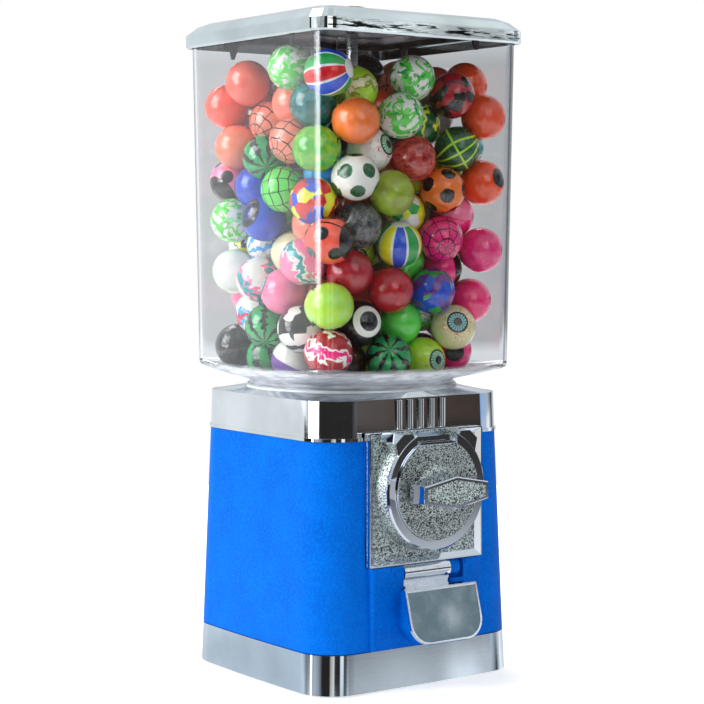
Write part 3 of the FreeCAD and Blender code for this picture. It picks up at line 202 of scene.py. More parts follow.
def sandy(s, at, tint, share):
    """Turn the masked part of a chrome surface into fine sand-cast metal."""
    grains = s.parts(s.voronoi(at, 1700.0, output="Color"))[0]
    fine = s.noise(at, 2400.0, 1.0, rough=0.7)
    cloud = s.noise(at, 90.0, 3.0)
    rough_face = s.math("MULTIPLY_ADD", fine, 0.5, s.math("MULTIPLY", grains, 0.5))
    s.feed("Normal", s.bump(s.math("MULTIPLY", rough_face, share), 0.0004, 1.0))
    light, dark = rgb(*tint), rgb(*(channel * 0.08 for channel in tint))
    speckle = s.mix(s.step(rough_face, 0.4, 0.57), dark, light)
    clouded = s.mix(s.step(cloud, 0.35, 0.75, 0.0, 0.12), speckle, light)
    s.feed("Base Color", s.mix(share, rgb(205, 212, 222), clouded))
    s.feed("Roughness", s.math("MULTIPLY_ADD", share, 0.38, 0.07))
    return s.material


SHAFT_HEIGHT = 0.137


def from_shaft(s, x, z):
    """The distance from the handle's axis."""
    up = s.math("SUBTRACT", z, SHAFT_HEIGHT)
    return s.math("SQRT", s.math("ADD", s.math("MULTIPLY", x, x), s.math("MULTIPLY", up, up)))


def plate_metal():
    """The mechanism's plate: a coarse cast field and collar side, with bright edges."""
    s = Surface("mech_plate_metal", Metallic=1.0)
    at = s.place()
    x, y, z = s.parts(at)
    radius = from_shaft(s, x, z)
    field = s.all_of(s.between(y, -0.0854, -0.0846), s.math("GREATER_THAN", radius, 0.0438))
    skirt = s.all_of(s.between(y, -0.0975, -0.0852), s.between(radius, 0.0385, 0.0478))
    return sandy(s, at, (230, 242, 242), s.any_of(field, skirt))


def disc_metal():
    """The turning disc: a cast face with a bright edge."""
    s = Surface("front_disc_metal", Metallic=1.0)
    at = s.place()
    x, y, z = s.parts(at)
    radius = from_shaft(s, x, z)
    face = s.all_of(s.between(y, -0.1175, -0.1008), s.math("LESS_THAN", radius, 0.0343))
    return sandy(s, at, (204, 214, 212), face)


def handle_metal():
    """The handle: bright, with a cast panel sunk in its face."""
    s = Surface("handle_metal", Metallic=1.0)
    at = s.place()
    y = s.parts(at)[1]
    return sandy(s, at, (234, 246, 243), s.between(y, -0.1202, -0.1198))


def door_metal():
    """The door: a mottled satin face inside a thin bright rim."""
    s = Surface("door_metal", Metallic=1.0)
    at = s.place()
    _, y, z = s.parts(at)
    lean = math.atan2(10.0, 36.2)
    out = s.math("MULTIPLY_ADD", s.math("ADD", y, 0.1015), -math.cos(lean),
                 s.math("MULTIPLY", s.math("SUBTRACT", z, 0.071), math.sin(lean)))
    face = s.between(out, 0.0018, 0.0023)
    smudge = s.noise(at, 70.0, 4.0, 0.8, rough=0.6)
    grain = s.noise(at, 1500.0, 3.0, rough=0.7)
    spot = s.node("VectorMath", {0: at, 1: (0.006, -0.107, 0.05)}, operation="DISTANCE").outputs[1]
    wiped = s.step(s.math("MULTIPLY_ADD", smudge, 0.012, spot), 0.007, 0.022, 1.0, 0.0)
    worn = s.math("MAXIMUM", s.step(smudge, 0.35, 0.9, 0.0, 0.5), wiped)
    tone = s.mix(worn, rgb(138, 162, 170), rgb(214, 228, 232))
    grained = s.mix(s.step(grain, 0.35, 0.7, 0.0, 0.3), tone, rgb(96, 106, 124))
    s.feed("Base Color", s.mix(face, rgb(214, 220, 228), grained))
    s.feed("Roughness", s.math("MULTIPLY_ADD", face, 0.27, 0.07))
    s.feed("Normal", s.bump(s.math("MULTIPLY", grain, face), 0.0002, 0.6))
    return s.material


def blue_paint():
    """Textured powder coat: fine pimples over a satin blue that varies very slightly."""
    s = Surface("body_paint", Metallic=0.0, Specular_IOR_Level=0.03)
    at = s.place()
    pimples = s.voronoi(at, 520.0)
    fine = s.noise(at, 1500.0, 2.0)
    cloud = s.noise(at, 38.0, 4.0, rough=0.6)
    base = s.mix(s.step(cloud, 0.3, 0.72), rgb(0, 85, 182), rgb(0, 93, 193))
    s.feed("Base Color", s.mix(s.step(pimples, 0.15, 0.6, 0.22, 0.0), base, rgb(0, 134, 240)))
    s.feed("Roughness", s.step(cloud, 0.3, 0.8, 0.42, 0.52))
    s.feed("Normal", s.bump(pimples, 0.00012, 0.5, s.bump(fine, 0.00003, 0.4)))
    return s.material


def moulded(name, tint, rough=0.45, grain=1200.0):
    """Moulded plastic or rubber with a fine surface and faint flow marks."""
    s = Surface(name, Metallic=0.0)
    at = s.place()
    flow = s.noise(s.scaled(at, 1.0, 1.0, 3.0), 40.0, 3.0, 0.6)
    fine = s.noise(at, grain, 2.0)
    s.feed("Base Color", s.mix(s.step(flow, 0.3, 0.75), rgb(*tint),
                               rgb(*(min(channel * 1.14 + 5, 255) for channel in tint))))
    s.feed("Roughness", s.step(flow, 0.2, 0.8, rough - 0.06, rough + 0.08))
    s.feed("Normal", s.bump(fine, 0.00005, 0.6))
    return s.material


def brushed(name, tint, rough=0.28):
    """Plated steel with fine drawn lines."""
    s = Surface(name, Metallic=1.0)
    at = s.place()
    lines = s.noise(s.scaled(at, 60.0, 60.0, 900.0), 2.0, 4.0)
    s.feed("Base Color", s.mix(lines, rgb(*(channel * 0.82 for channel in tint)), rgb(*tint)))
    s.feed("Roughness", s.step(lines, 0.2, 0.8, rough - 0.06, rough + 0.1))
    s.feed("Normal", s.bump(lines, 0.00002, 0.5))
    return s.material


def clear_plastic():
    """The globe: clear moulded plastic, hazy and streaked where it thickens at the foot; its corner
    columns carry painted shade.
    """
    s = Surface("globe_plastic", IOR=1.42)
    at = s.place()
    z = s.parts(at)[2]
    foot = s.step(z, 0.2125, 0.219, 1.0, 0.0)
    streak = s.noise(s.scaled(at, 30.0, 30.0, 220.0), 2.0, 3.0)
    haze = s.math("MULTIPLY", foot, s.step(streak, 0.3, 0.7, 0.35, 0.8))
    s.feed("Transmission Weight", s.math("SUBTRACT", 1.0, haze))
    s.feed("Roughness", s.math("MULTIPLY_ADD", foot, 0.12, s.step(s.noise(at, 30.0, 3.0), 0.45,
                                                                0.9, 0.0, 0.03)))
    s.feed("Normal", s.bump(s.math("MULTIPLY", streak, foot), 0.001, 0.6))
    # Painted shade: the corner columns are tinted blue-grey, darker than the flat walls.
    side = s.math("MINIMUM", *(s.math("ABSOLUTE", part) for part in s.parts(at)[:2]))
    wall = s.mix(s.step(side, 0.077, 0.081), (0.975, 0.988, 0.992, 1.0), rgb(206, 222, 236))
    s.feed("Base Color", s.mix(foot, wall, rgb(222, 228, 236)))
    return s.material


# ---------------------------------------------------------------- patterned balls
# Every ball carries its own unit-sphere coordinates ("local") and up to three inks.

def ball_surface(name, gloss=0.16):
    s = Surface(f"ball_{name}", Metallic=0.0, Coat_Weight=0.4, Coat_Roughness=0.06)
    s.local = s.attribute("local", "Vector")
    s.inks = [s.attribute(f"ink_{letter}") for letter in "abc"]
    s.gloss = gloss
    return s


def ball_finish(s, colour):
    """Seam line, faint mottling and a rubbery surface shared by all balls."""
    z = s.parts(s.local)[2]
    seam = s.step(s.math("ABSOLUTE", z), 0.0, 0.02, 1.0, 0.0)
    mottle = s.noise(s.local, 7.0, 4.0)
    shaded = s.mix(s.step(mottle, 0.35, 0.75, 0.0, 0.08), colour, (0.02, 0.02, 0.02, 1.0))
    s.feed("Base Color", shaded)
    s.feed("Roughness", s.step(mottle, 0.3, 0.8, s.gloss, s.gloss + 0.14))
    height = s.math("ADD", seam, s.math("MULTIPLY", mottle, 0.5))
    s.feed("Normal", s.bump(height, 0.0001, 0.5))
    return s.material


def marble():
    s = ball_surface("marble")
    a, b, c = s.inks
    flow = s.noise(s.local, 1.5, 3.0, 1.8)
    other = s.noise(s.local, 2.3, 3.0, 1.1)
    first = s.mix(s.step(flow, 0.47, 0.53), a, b)
    return ball_finish(s, s.mix(s.step(other, 0.57, 0.62), first, c))


def swirl():
    s = ball_surface("swirl")
    a, b, c = s.inks
    x, y, z = s.parts(s.local)
    turn = s.math("ARCTAN2", y, x)
    drift = s.noise(s.local, 1.6, 2.0, 1.0)
    wave = s.math("SINE", s.math("ADD", s.math("MULTIPLY", z, 5.0),
                                 s.math("MULTIPLY_ADD", drift, 7.0, turn)))
    first = s.mix(s.step(wave, -0.1, 0.1), a, b)
    return ball_finish(s, s.mix(s.step(wave, 0.72, 0.82), first, c))


def plain():
    s = ball_surface("plain")
    a, b, _ = s.inks
    haze = s.noise(s.local, 2.0, 3.0)
    return ball_finish(s, s.mix(s.step(haze, 0.35, 0.7, 0.0, 0.35), a, b))


def glitter():
    """Clear rubber with flakes in it."""
    s = ball_surface("glitter", 0.05)
    s.shader.inputs["Transmission Weight"].default_value = 0.35
    s.shader.inputs["IOR"].default_value = 1.45
    a, b, c = s.inks
    flakes = s.voronoi(s.local, 13.0)
    bright = s.step(flakes, 0.1, 0.2, 1.0, 0.0)
    haze = s.noise(s.local, 2.4, 3.0, 1.2)
    return ball_finish(s, s.mix(bright, s.mix(s.step(haze, 0.4, 0.65), a, b), c))


def seams():
    s = ball_surface("seams", 0.22)
    a, b, _ = s.inks
    x, _, z = s.parts(s.local)
    bow = s.math("SUBTRACT", s.math("SUBTRACT", s.math("ABSOLUTE", x), 0.5),
                 s.math("MULTIPLY", s.math("MULTIPLY", z, z), -0.35))
    near = s.math("MINIMUM", s.math("MINIMUM", s.math("ABSOLUTE", x), s.math("ABSOLUTE", z)),
                  s.math("ABSOLUTE", bow))
    return ball_finish(s, s.mix(s.step(near, 0.035, 0.055), b, a))


def twelve(s):
    """The cosine to the nearest of twelve evenly spread points."""
    x, y, z = (s.math("ABSOLUTE", part) for part in s.parts(s.local))
    pairs = ((y, z), (z, x), (x, y))
    nearest = [s.math("MULTIPLY_ADD", p, 0.5257, s.math("MULTIPLY", q, 0.8507)) for p, q in pairs]
    return s.any_of(*nearest)


def soccer():
    s = ball_surface("soccer", 0.2)
    a, b, _ = s.inks
    ragged = s.math("MULTIPLY_ADD", s.noise(s.local, 4.0, 1.0), 0.03, twelve(s))
    return ball_finish(s, s.mix(s.step(ragged, 0.955, 0.963), a, b))


def eye():
    """A small ringed iris at the pole, with veins that run out from it."""
    s = ball_surface("eye", 0.1)
    a, b, c = s.inks
    x, y, z = s.parts(s.local)
    turn = s.math("ARCTAN2", y, x)
    out = s.math("SQRT", s.math("ADD", s.math("MULTIPLY", x, x), s.math("MULTIPLY", y, y)))
    front = s.math("GREATER_THAN", z, 0.0)
    drift = s.noise(s.local, 2.4, 4.0, 0.8)
    wave = s.math("SINE", s.math("MULTIPLY_ADD", drift, 16.0, s.math("MULTIPLY", turn, 6.0)))
    thin = s.step(out, 0.45, 1.0, 0.2, 0.0)
    veins = s.all_of(front, s.math("LESS_THAN", s.math("ABSOLUTE", wave), thin))
    disc = s.all_of(front, s.step(out, 0.46, 0.49, 1.0, 0.0))
    iris = s.all_of(front, s.step(out, 0.38, 0.42, 1.0, 0.0))
    centre = s.all_of(front, s.step(out, 0.17, 0.2, 1.0, 0.0))
    rays = s.math("SINE", s.math("MULTIPLY_ADD", drift, 6.0, s.math("MULTIPLY", turn, 18.0)))
    tone = s.mix(s.step(rays, -0.4, 0.6), b, (0.6, 0.75, 0.65, 1.0))
    veined = s.mix(veins, a, c)
    ringed = s.mix(iris, s.mix(disc, veined, (0.008, 0.03, 0.02, 1.0)), tone)
    return ball_finish(s, s.mix(centre, ringed, (0.003, 0.003, 0.004, 1.0)))


def beetle():
    s = ball_surface("beetle", 0.16)
    a, b, _ = s.inks
    x, _, z = s.parts(s.local)
    spots = s.step(twelve(s), 0.945, 0.96)
    cap = s.step(z, 0.66, 0.69)
    wing = s.all_of(s.step(s.math("ABSOLUTE", x), 0.03, 0.05, 1.0, 0.0),
                    s.math("GREATER_THAN", z, -0.7))
    return ball_finish(s, s.mix(s.any_of(spots, cap, wing), a, b))


def halves():
    s = ball_surface("halves")
    a, b, _ = s.inks
    z = s.parts(s.local)[2]
    edge = s.math("MULTIPLY_ADD", s.noise(s.local, 2.0, 1.0), 0.16, z)
    return ball_finish(s, s.mix(s.step(edge, 0.06, 0.1), a, b))


def stripes():
    s = ball_surface("stripes")
    a, b, c = s.inks
    x, y, _ = s.parts(s.local)
    turn = s.math("ARCTAN2", y, x)
    ragged = s.noise(s.local, 5.0, 3.0)
    wave = s.math("SINE", s.math("MULTIPLY_ADD", turn, 8.0, s.math("MULTIPLY", ragged, 5.0)))
    patchy = s.mix(s.step(s.noise(s.local, 9.0, 2.0), 0.45, 0.6), a, c)
    return ball_finish(s, s.mix(s.step(wave, 0.35, 0.5), patchy, b))


def web():
    s = ball_surface("web")
    a, b, _ = s.inks
    x, y, z = s.parts(s.local)
    turn = s.math("ARCTAN2", y, x)
    spokes = s.math("ABSOLUTE", s.math("SINE", s.math("MULTIPLY", turn, 5.0)))
    thin = s.math("MULTIPLY", spokes, s.math("SQRT", s.math("SUBTRACT", 1.01,
                                                           s.math("MULTIPLY", z, z))))
    sag = s.math("MULTIPLY", s.math("POWER", spokes, 0.6), 0.5)
    rings = s.math("ABSOLUTE", s.math("SINE", s.math("MULTIPLY_ADD", s.math("ARCCOSINE", z), 7.0,
                                                     sag)))
    near = s.math("MINIMUM", s.math("MULTIPLY", thin, 2.2), rings)
    return ball_finish(s, s.mix(s.step(near, 0.16, 0.26), b, a))


def panels():
    s = ball_surface("panels")
    a, b, c = s.inks
    x, y, z = s.parts(s.local)
    turn = s.math("ARCTAN2", y, x)
    sector = s.math("FRACT", s.math("MULTIPLY_ADD", turn, 0.47747, 3.0))
    first = s.mix(s.math("GREATER_THAN", sector, 0.3333), a, b)
    second = s.mix(s.math("GREATER_THAN", sector, 0.6667), first, c)
    edges = [s.math("ABSOLUTE", s.math("SUBTRACT", sector, limit))
             for limit in (0.0, 0.3333, 0.6667, 1.0)]
    near = s.math("MINIMUM", s.math("MINIMUM", edges[0], edges[1]),
                  s.math("MINIMUM", edges[2], edges[3]))
    wide = s.step(near, 0.02, 0.03, 1.0, 0.0)
    cap = s.step(s.math("ABSOLUTE", z), 0.9, 0.92)
    return ball_finish(s, s.mix(s.any_of(wide, cap), second, (0.85, 0.85, 0.83, 1.0)))


def dot():
    s = ball_surface("dot")
    a, b, c = s.inks
    z = s.parts(s.local)[2]
    ringed = s.mix(s.step(z, 0.72, 0.75), a, b)
    return ball_finish(s, s.mix(s.step(z, 0.89, 0.91), ringed, c))


def blocks():
    s = ball_surface("blocks")
    a, b, c = s.inks
    cell = s.voronoi(s.local, 2.1, output="Color")
    pick = s.parts(cell)[0]
    first = s.mix(s.math("GREATER_THAN", pick, 0.4), a, b)
    return ball_finish(s, s.mix(s.math("GREATER_THAN", pick, 0.72), first, c))


PATTERNS = {
    "marble": marble, "swirl": swirl, "plain": plain, "glitter": glitter, "seams": seams,
    "soccer": soccer, "eye": eye, "beetle": beetle, "halves": halves, "stripes": stripes,
    "web": web, "panels": panels, "dot": dot, "blocks": blocks,
}

INKS = {
    "white": (246, 246, 240), "cream": (240, 232, 178), "black": (16, 16, 18),
    "red": (226, 24, 28), "crimson": (182, 12, 36), "maroon": (122, 24, 42),
    "salmon": (255, 140, 112), "coral": (255, 98, 76), "orange": (255, 124, 36),
    "rust": (252, 82, 32), "yellow": (242, 240, 40), "lime": (188, 238, 56),
    "spring": (92, 224, 78), "green": (30, 172, 74), "emerald": (26, 160, 96),
    "forest": (16, 92, 48), "olive": (150, 168, 42), "mint": (156, 238, 160),
    "teal": (20, 160, 170), "deep_teal": (16, 104, 92), "sky": (66, 168, 234),
    "blue": (30, 84, 220), "navy": (18, 34, 112), "purple": (110, 54, 160),
    "pink": (255, 134, 176), "hot_pink": (252, 32, 132), "grey": (134, 136, 138),
    "pearl": (224, 226, 222), "brown": (78, 46, 34), "smoke": (74, 80, 82),
}


def look(pattern, *inks, aim=None):
    """One ball's look: a pattern, its inks and, if it matters, where its pole points."""
    inks = (list(inks) + ["black", "white", "black"])[:max(3, len(inks))]
    return pattern, tuple(inks[:3]), aim


BALL_RADIUS = 0.0159
OUT = "out"

# What lies against the two faces that meet the eye first, top row first, left to right.
LEFT_ROWS = [
    [look("seams", "crimson", "black"), look("plain", "coral", "salmon"),
     look("marble", "spring", "white", "mint"), look("glitter", "deep_teal", "teal", "mint")],
    [look("plain", "coral", "rust"), look("plain", "salmon", "orange"),
     look("plain", "salmon", "coral"), look("marble", "spring", "mint", "lime")],
    [look("blocks", "hot_pink", "white", "pink"), look("web", "salmon", "black"),
     look("web", "salmon", "black"), look("glitter", "spring", "lime", "yellow")],
    [look("beetle", "pink", "black"), look("stripes", "emerald", "black", "green"),
     look("plain", "sky", "blue"), look("blocks", "red", "yellow", "blue")],
    [look("swirl", "white", "purple", "yellow"), look("plain", "blue", "navy"),
     look("web", "spring", "black"), look("glitter", "yellow", "lime", "cream")],
    [look("marble", "spring", "white", "mint"), look("dot", "blue", "black", "navy", aim=OUT),
     look("halves", "salmon", "white"), look("glitter", "yellow", "lime", "cream")],
    [look("halves", "white", "spring"), look("swirl", "white", "pink", "teal"),
     look("swirl", "pink", "white", "teal"), look("beetle", "coral", "black")],
    [look("plain", "pink", "hot_pink"), look("swirl", "white", "sky", "red"),
     look("eye", "pink", "teal", "crimson", aim=OUT), look("glitter", "pearl", "white", "cream")],
    [look("stripes", "white", "sky", "pearl"), look("stripes", "emerald", "black", "green"),
     look("blocks", "black", "white", "black"), look("plain", "cream", "white")],
    [look("plain", "black", "smoke"), look("stripes", "emerald", "black", "green"),
     look("halves", "purple", "white"), look("eye", "white", "teal", "crimson", aim=OUT)],
]
FRONT_ROWS = [
    [look("panels", "green", "red", "blue"), look("swirl", "lime", "olive", "cream"),
     look("marble", "white", "spring", "green"), look("blocks", "crimson", "black", "maroon"),
     look("plain", "rust", "coral")],
    [look("glitter", "deep_teal", "teal", "mint"), look("plain", "orange", "salmon"),
     look("marble", "spring", "white", "green"), look("swirl", "forest", "yellow", "green"),
     look("plain", "rust", "coral")],
    [look("glitter", "spring", "lime", "yellow"), look("eye", "white", "emerald", "red", aim=OUT),
     look("glitter", "coral", "crimson", "pink"), look("seams", "forest", "lime"),
     look("swirl", "teal", "white", "deep_teal")],
    [look("blocks", "red", "yellow", "blue"), look("soccer", "white", "forest"),
     look("plain", "olive", "lime"), look("soccer", "orange", "black"),
     look("dot", "rust", "rust", "black", aim=OUT)],
    [look("glitter", "yellow", "lime", "cream"), look("glitter", "smoke", "grey", "pearl"),
     look("blocks", "green", "white", "yellow"), look("halves", "hot_pink", "black"),
     look("halves", "hot_pink", "pink")],
    [look("beetle", "coral", "black"), look("plain", "crimson", "maroon"),
     look("panels", "green", "blue", "yellow"), look("web", "hot_pink", "black"),
     look("plain", "hot_pink", "pink")],
    [look("plain", "lime", "mint"), look("halves", "spring", "white"),
     look("plain", "crimson", "red"), look("blocks", "purple", "blue", "green"),
     look("plain", "hot_pink", "coral")],
    [look("plain", "cream", "white"), look("dot", "black", "white", "black", aim=OUT),
     look("halves", "white", "spring"), look("eye", "cream", "teal", "red", aim=OUT),
     look("blocks", "purple", "navy", "yellow")],
    [look("swirl", "crimson", "white", "hot_pink"), look("glitter", "brown", "black", "orange"),
     look("stripes", "emerald", "black", "green"), look("eye", "lime", "emerald", "red", aim=OUT),
     look("dot", "hot_pink", "hot_pink", "black", aim=OUT)],
]


def islands(mesh):
    """Centres of the separate balls in a CAD node's mesh."""
    owner = list(range(len(mesh.vertices)))

    def find(i):
        while owner[i] != i:
            owner[i] = owner[owner[i]]
            i = owner[i]
        return i

    for edge in mesh.edges:
        a, b = (find(i) for i in edge.vertices)
        owner[a] = b
    groups = {}
    for vertex in mesh.vertices:
        groups.setdefault(find(vertex.index), []).append(vertex.co)
    centres = []
    for points in groups.values():
        low = Vector(min(p[i] for p in points) for i in range(3))
        high = Vector(max(p[i] for p in points) for i in range(3))
        if (high - low).length > 0.02:
            centres.append((low + high) / 2)
    return sorted(centres, key=lambda c: (round(c.z, 4), round(c.x, 4), round(c.y, 4)))


def unit_ball():
    """A unit ball, to which make_balls adds a slight ridge where its mould halves met."""
    form = bmesh.new()
    bmesh.ops.create_icosphere(form, subdivisions=4, radius=1.0)
    points = [vertex.co.copy() for vertex in form.verts]
    faces = [[vertex.index for vertex in face.verts] for face in form.faces]
    form.free()
    return points, faces


def make_balls(name, pattern, balls, body):
    """One piece holding every ball of one pattern."""
    points, faces = BALL_FORM
    vertices, polygons, local, inks = [], [], [], ([], [], [])
    for centre, turn, colours in balls:
        start = len(vertices)
        for point in points:
            ridge = BALL_RADIUS * (1.0 + 0.002 * max(0.0, 1.0 - abs(point.z) / 0.06))
            vertices.append(centre + turn @ point * ridge)
            local.extend(point)
        polygons.extend([start + i for i in face] for face in faces)
        for ink, colour in zip(inks, colours):
            ink.extend(rgb(*INKS[colour]) * len(points))
    mesh = bpy.data.meshes.new(name)
    mesh.from_pydata(vertices, [], polygons)
    mesh.attributes.new("local", "FLOAT_VECTOR", "POINT").data.foreach_set("vector", local)
    for letter, ink in zip("abc", inks):
        layer = mesh.attributes.new(f"ink_{letter}", "FLOAT_COLOR", "POINT")
        layer.data.foreach_set("color", ink)
    mesh.shade_smooth()
    mesh.materials.append(BALL_MATERIALS[pattern])
    piece = bpy.data.objects.new(name, mesh)
    bpy.context.scene.collection.objects.link(piece)
    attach(piece, body)
    return piece


ROW_DEPTH = 0.026


def face_looks(centres, rows, side, across):
    """Deal a grid of looks to the balls that lie against one wall, each to the nearest ball."""
    wall = max(side(c) for c in centres)
    near = [c for c in centres if side(c) > wall - ROW_DEPTH]
    top, low = max(c.z for c in near), min(c.z for c in near)
    pairs = []
    for row, looks in enumerate(rows):
        up = top + (low - top) * row / (len(rows) - 1)
        for column in range(len(looks)):
            along = wall * (2 * column / (len(looks) - 1) - 1)
            for centre in near:
                depth = (wall - side(centre)) * 0.6
                pairs.append((math.hypot(across(centre) - along, centre.z - up, depth),
                              row, column, tuple(centre)))
    dealt, used = {}, set()
    for _, row, column, centre in sorted(pairs):
        if centre not in dealt and (row, column) not in used:
            dealt[centre] = rows[row][column]
            used.add((row, column))
    return dealt


def scatter_balls():
    """Replace the CAD balls by patterned ones, in place."""
    draw = random.Random(11)
    layers = sorted(name for name in nodes if name.startswith("balls_layer"))
    centres = [centre for name in layers for centre in islands(nodes[name].data)]
    dealt = face_looks(centres, LEFT_ROWS, lambda c: -c.x, lambda c: -c.y)
    dealt.update(face_looks(centres, FRONT_ROWS, lambda c: -c.y, lambda c: c.x))
    stock = [item for row in LEFT_ROWS + FRONT_ROWS for item in row]
    groups = {}
    for centre in centres:
        pattern, colours, aim = dealt.get(tuple(centre)) or draw.choice(stock)
        turn = Euler([draw.uniform(0, 2 * math.pi) for _ in range(3)]).to_quaternion()
        if aim:
            outward = Vector((-1, 0, 0)) if -centre.x > -centre.y else Vector((0, -1, 0))
            outward += Vector(draw.uniform(-0.45, 0.45) for _ in range(3))
            turn = outward.to_track_quat("Z", "Y")
        groups.setdefault(pattern, []).append((centre, turn, colours))
    first = True
    for pattern, balls in sorted(groups.items()):
        piece = make_balls(f"balls_{pattern}", pattern, balls, "stand")
        if first:
            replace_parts(piece, *layers)
            first = False
    waiting = []
    marbles = [item for item in stock if item[0] == "marble"]
    for centre in islands(nodes["loaded_balls"].data):
        colours = draw.choice(marbles)[1]
        turn = Euler([draw.uniform(0, 2 * math.pi) for _ in range(3)]).to_quaternion()
        waiting.append((centre, turn, colours))
    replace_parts(make_balls("waiting_balls", "marble", waiting, "wheel"), "loaded_balls")


# ---------------------------------------------------------------- studio

def stage_floor():
    """A round sheet of white paper, lit from below as a product table is."""
    form = bmesh.new()
    bmesh.ops.create_circle(form, cap_ends=True, segments=96, radius=1.0)
    mesh = bpy.data.meshes.new("floor")
    form.to_mesh(mesh)
    form.free()
    s = Surface("floor_paper", Roughness=0.7, Specular_IOR_Level=0.2, Emission_Strength=0.42)
    s.feed("Base Color", s.mix(s.noise(s.place(), 3.0, 2.0), rgb(242, 242, 243),
                               rgb(250, 250, 250)))
    s.shader.inputs["Emission Color"].default_value = (1.0, 1.0, 1.0, 1.0)
    mesh.materials.append(s.material)
    floor = bpy.data.objects.new("floor", mesh)
    bpy.context.scene.collection.objects.link(floor)
    floor.visible_glossy = False


def softbox(name, place, target, size, power):
    lamp = bpy.data.lights.new(name, "AREA")
    lamp.shape = "RECTANGLE"
    lamp.size, lamp.size_y = size
    lamp.energy = power
    thing = bpy.data.objects.new(name, lamp)
    thing.location = place
    thing.rotation_euler = (Vector(target) - Vector(place)).to_track_quat("-Z", "Y").to_euler()
    bpy.context.scene.collection.objects.link(thing)
    return thing


# What is mirrored, from behind-left through the front to behind-right: below the horizon, a
# little below it, level with the globe, and above that.
GREY, DARK, BROWN = (0.62, 0.66, 0.72), (0.03, 0.027, 0.026), (0.10, 0.07, 0.055)
WHITE, STRIP, BEIGE = (1.25, 1.27, 1.3), (6.0, 6.1, 6.3), (0.55, 0.5, 0.45)
GLARE, BRIGHTEST = (13.0, 13.2, 13.5), 14.0
GROUND_STOPS = [
    (0.0, GREY), (0.05, (0.5, 0.56, 0.62)), (0.08, DARK), (0.13, DARK), (0.14, WHITE),
    (0.18, WHITE), (0.19, (0.25, 0.29, 0.34)), (0.26, (0.3, 0.34, 0.38)), (0.28, WHITE),
    (0.29, GREY), (0.338, (0.62, 0.64, 0.66)), (0.358, (0.75, 0.78, 0.8)), (0.366, WHITE),
    (0.37, (0.75, 0.78, 0.82)), (0.376, (0.95, 0.98, 1.0)), (0.39, GREY), (0.44, DARK),
    (0.5, WHITE), (0.6, GREY), (0.8, (0.9, 0.95, 1.0)), (0.85, (0.7, 0.78, 0.86)),
    (0.9, (0.85, 0.92, 1.0)), (0.93, (0.4, 0.45, 0.5)), (0.97, WHITE), (1.0, GREY),
]
LOW_STOPS = [
    (0.0, GREY), (0.04, (0.4, 0.42, 0.46)), (0.07, DARK), (0.13, DARK), (0.137, BEIGE),
    (0.165, (1.1, 1.02, 0.92)), (0.172, DARK), (0.212, DARK), (0.218, WHITE), (0.24, WHITE),
    (0.246, DARK), (0.3, BROWN), (0.338, DARK), (0.35, (0.05, 0.045, 0.04)), (0.37, DARK),
    (0.373, (0.7, 0.6, 0.5)), (0.376, DARK), (0.38, (0.6, 0.75, 1.0)), (0.42, GREY),
    (0.46, WHITE), (0.52, DARK), (0.56, GREY), (0.75, (1.0, 1.03, 1.05)), (0.84, (1.02, 1.06, 1.07)),
    (0.885, (1.05, 1.08, 1.1)), (0.892, DARK), (0.965, DARK), (0.97, STRIP), (0.98, STRIP),
    (0.985, DARK), (1.0, GREY),
]
GLASS_STOPS = [
    (0.0, GLARE), (0.025, GLARE), (0.028, DARK), (0.07, DARK), (0.3, DARK), (0.338, (0.15, 0.15, 0.16)),
    (0.355, BROWN), (0.37, DARK), (0.38, (0.4, 0.6, 1.0)), (0.46, GREY), (0.52, DARK),
    (0.75, (0.9, 0.92, 0.95)), (0.84, (1.0, 1.02, 1.05)), (0.88, (1.6, 1.62, 1.65)),
    (0.92, (0.9, 0.92, 0.95)), (0.93, DARK), (0.935, GLARE), (0.945, GLARE), (0.95, DARK),
    (0.955, DARK), (0.958, GLARE), (1.0, GLARE),
]
HIGH_STOPS = [
    (0.0, WHITE), (0.13, WHITE), (0.135, DARK), (0.2, BROWN), (0.3, BROWN), (0.318, DARK),
    (0.325, (1.6, 1.65, 1.7)), (0.374, (1.6, 1.65, 1.7)), (0.377, DARK), (0.385, DARK),
    (0.39, GREY), (0.5, WHITE), (0.6, GREY), (0.8, (0.9, 0.95, 0.97)),
    (0.868, (0.84, 0.88, 0.9)), (0.875, DARK), (0.897, DARK), (0.9, WHITE), (1.0, WHITE),
]


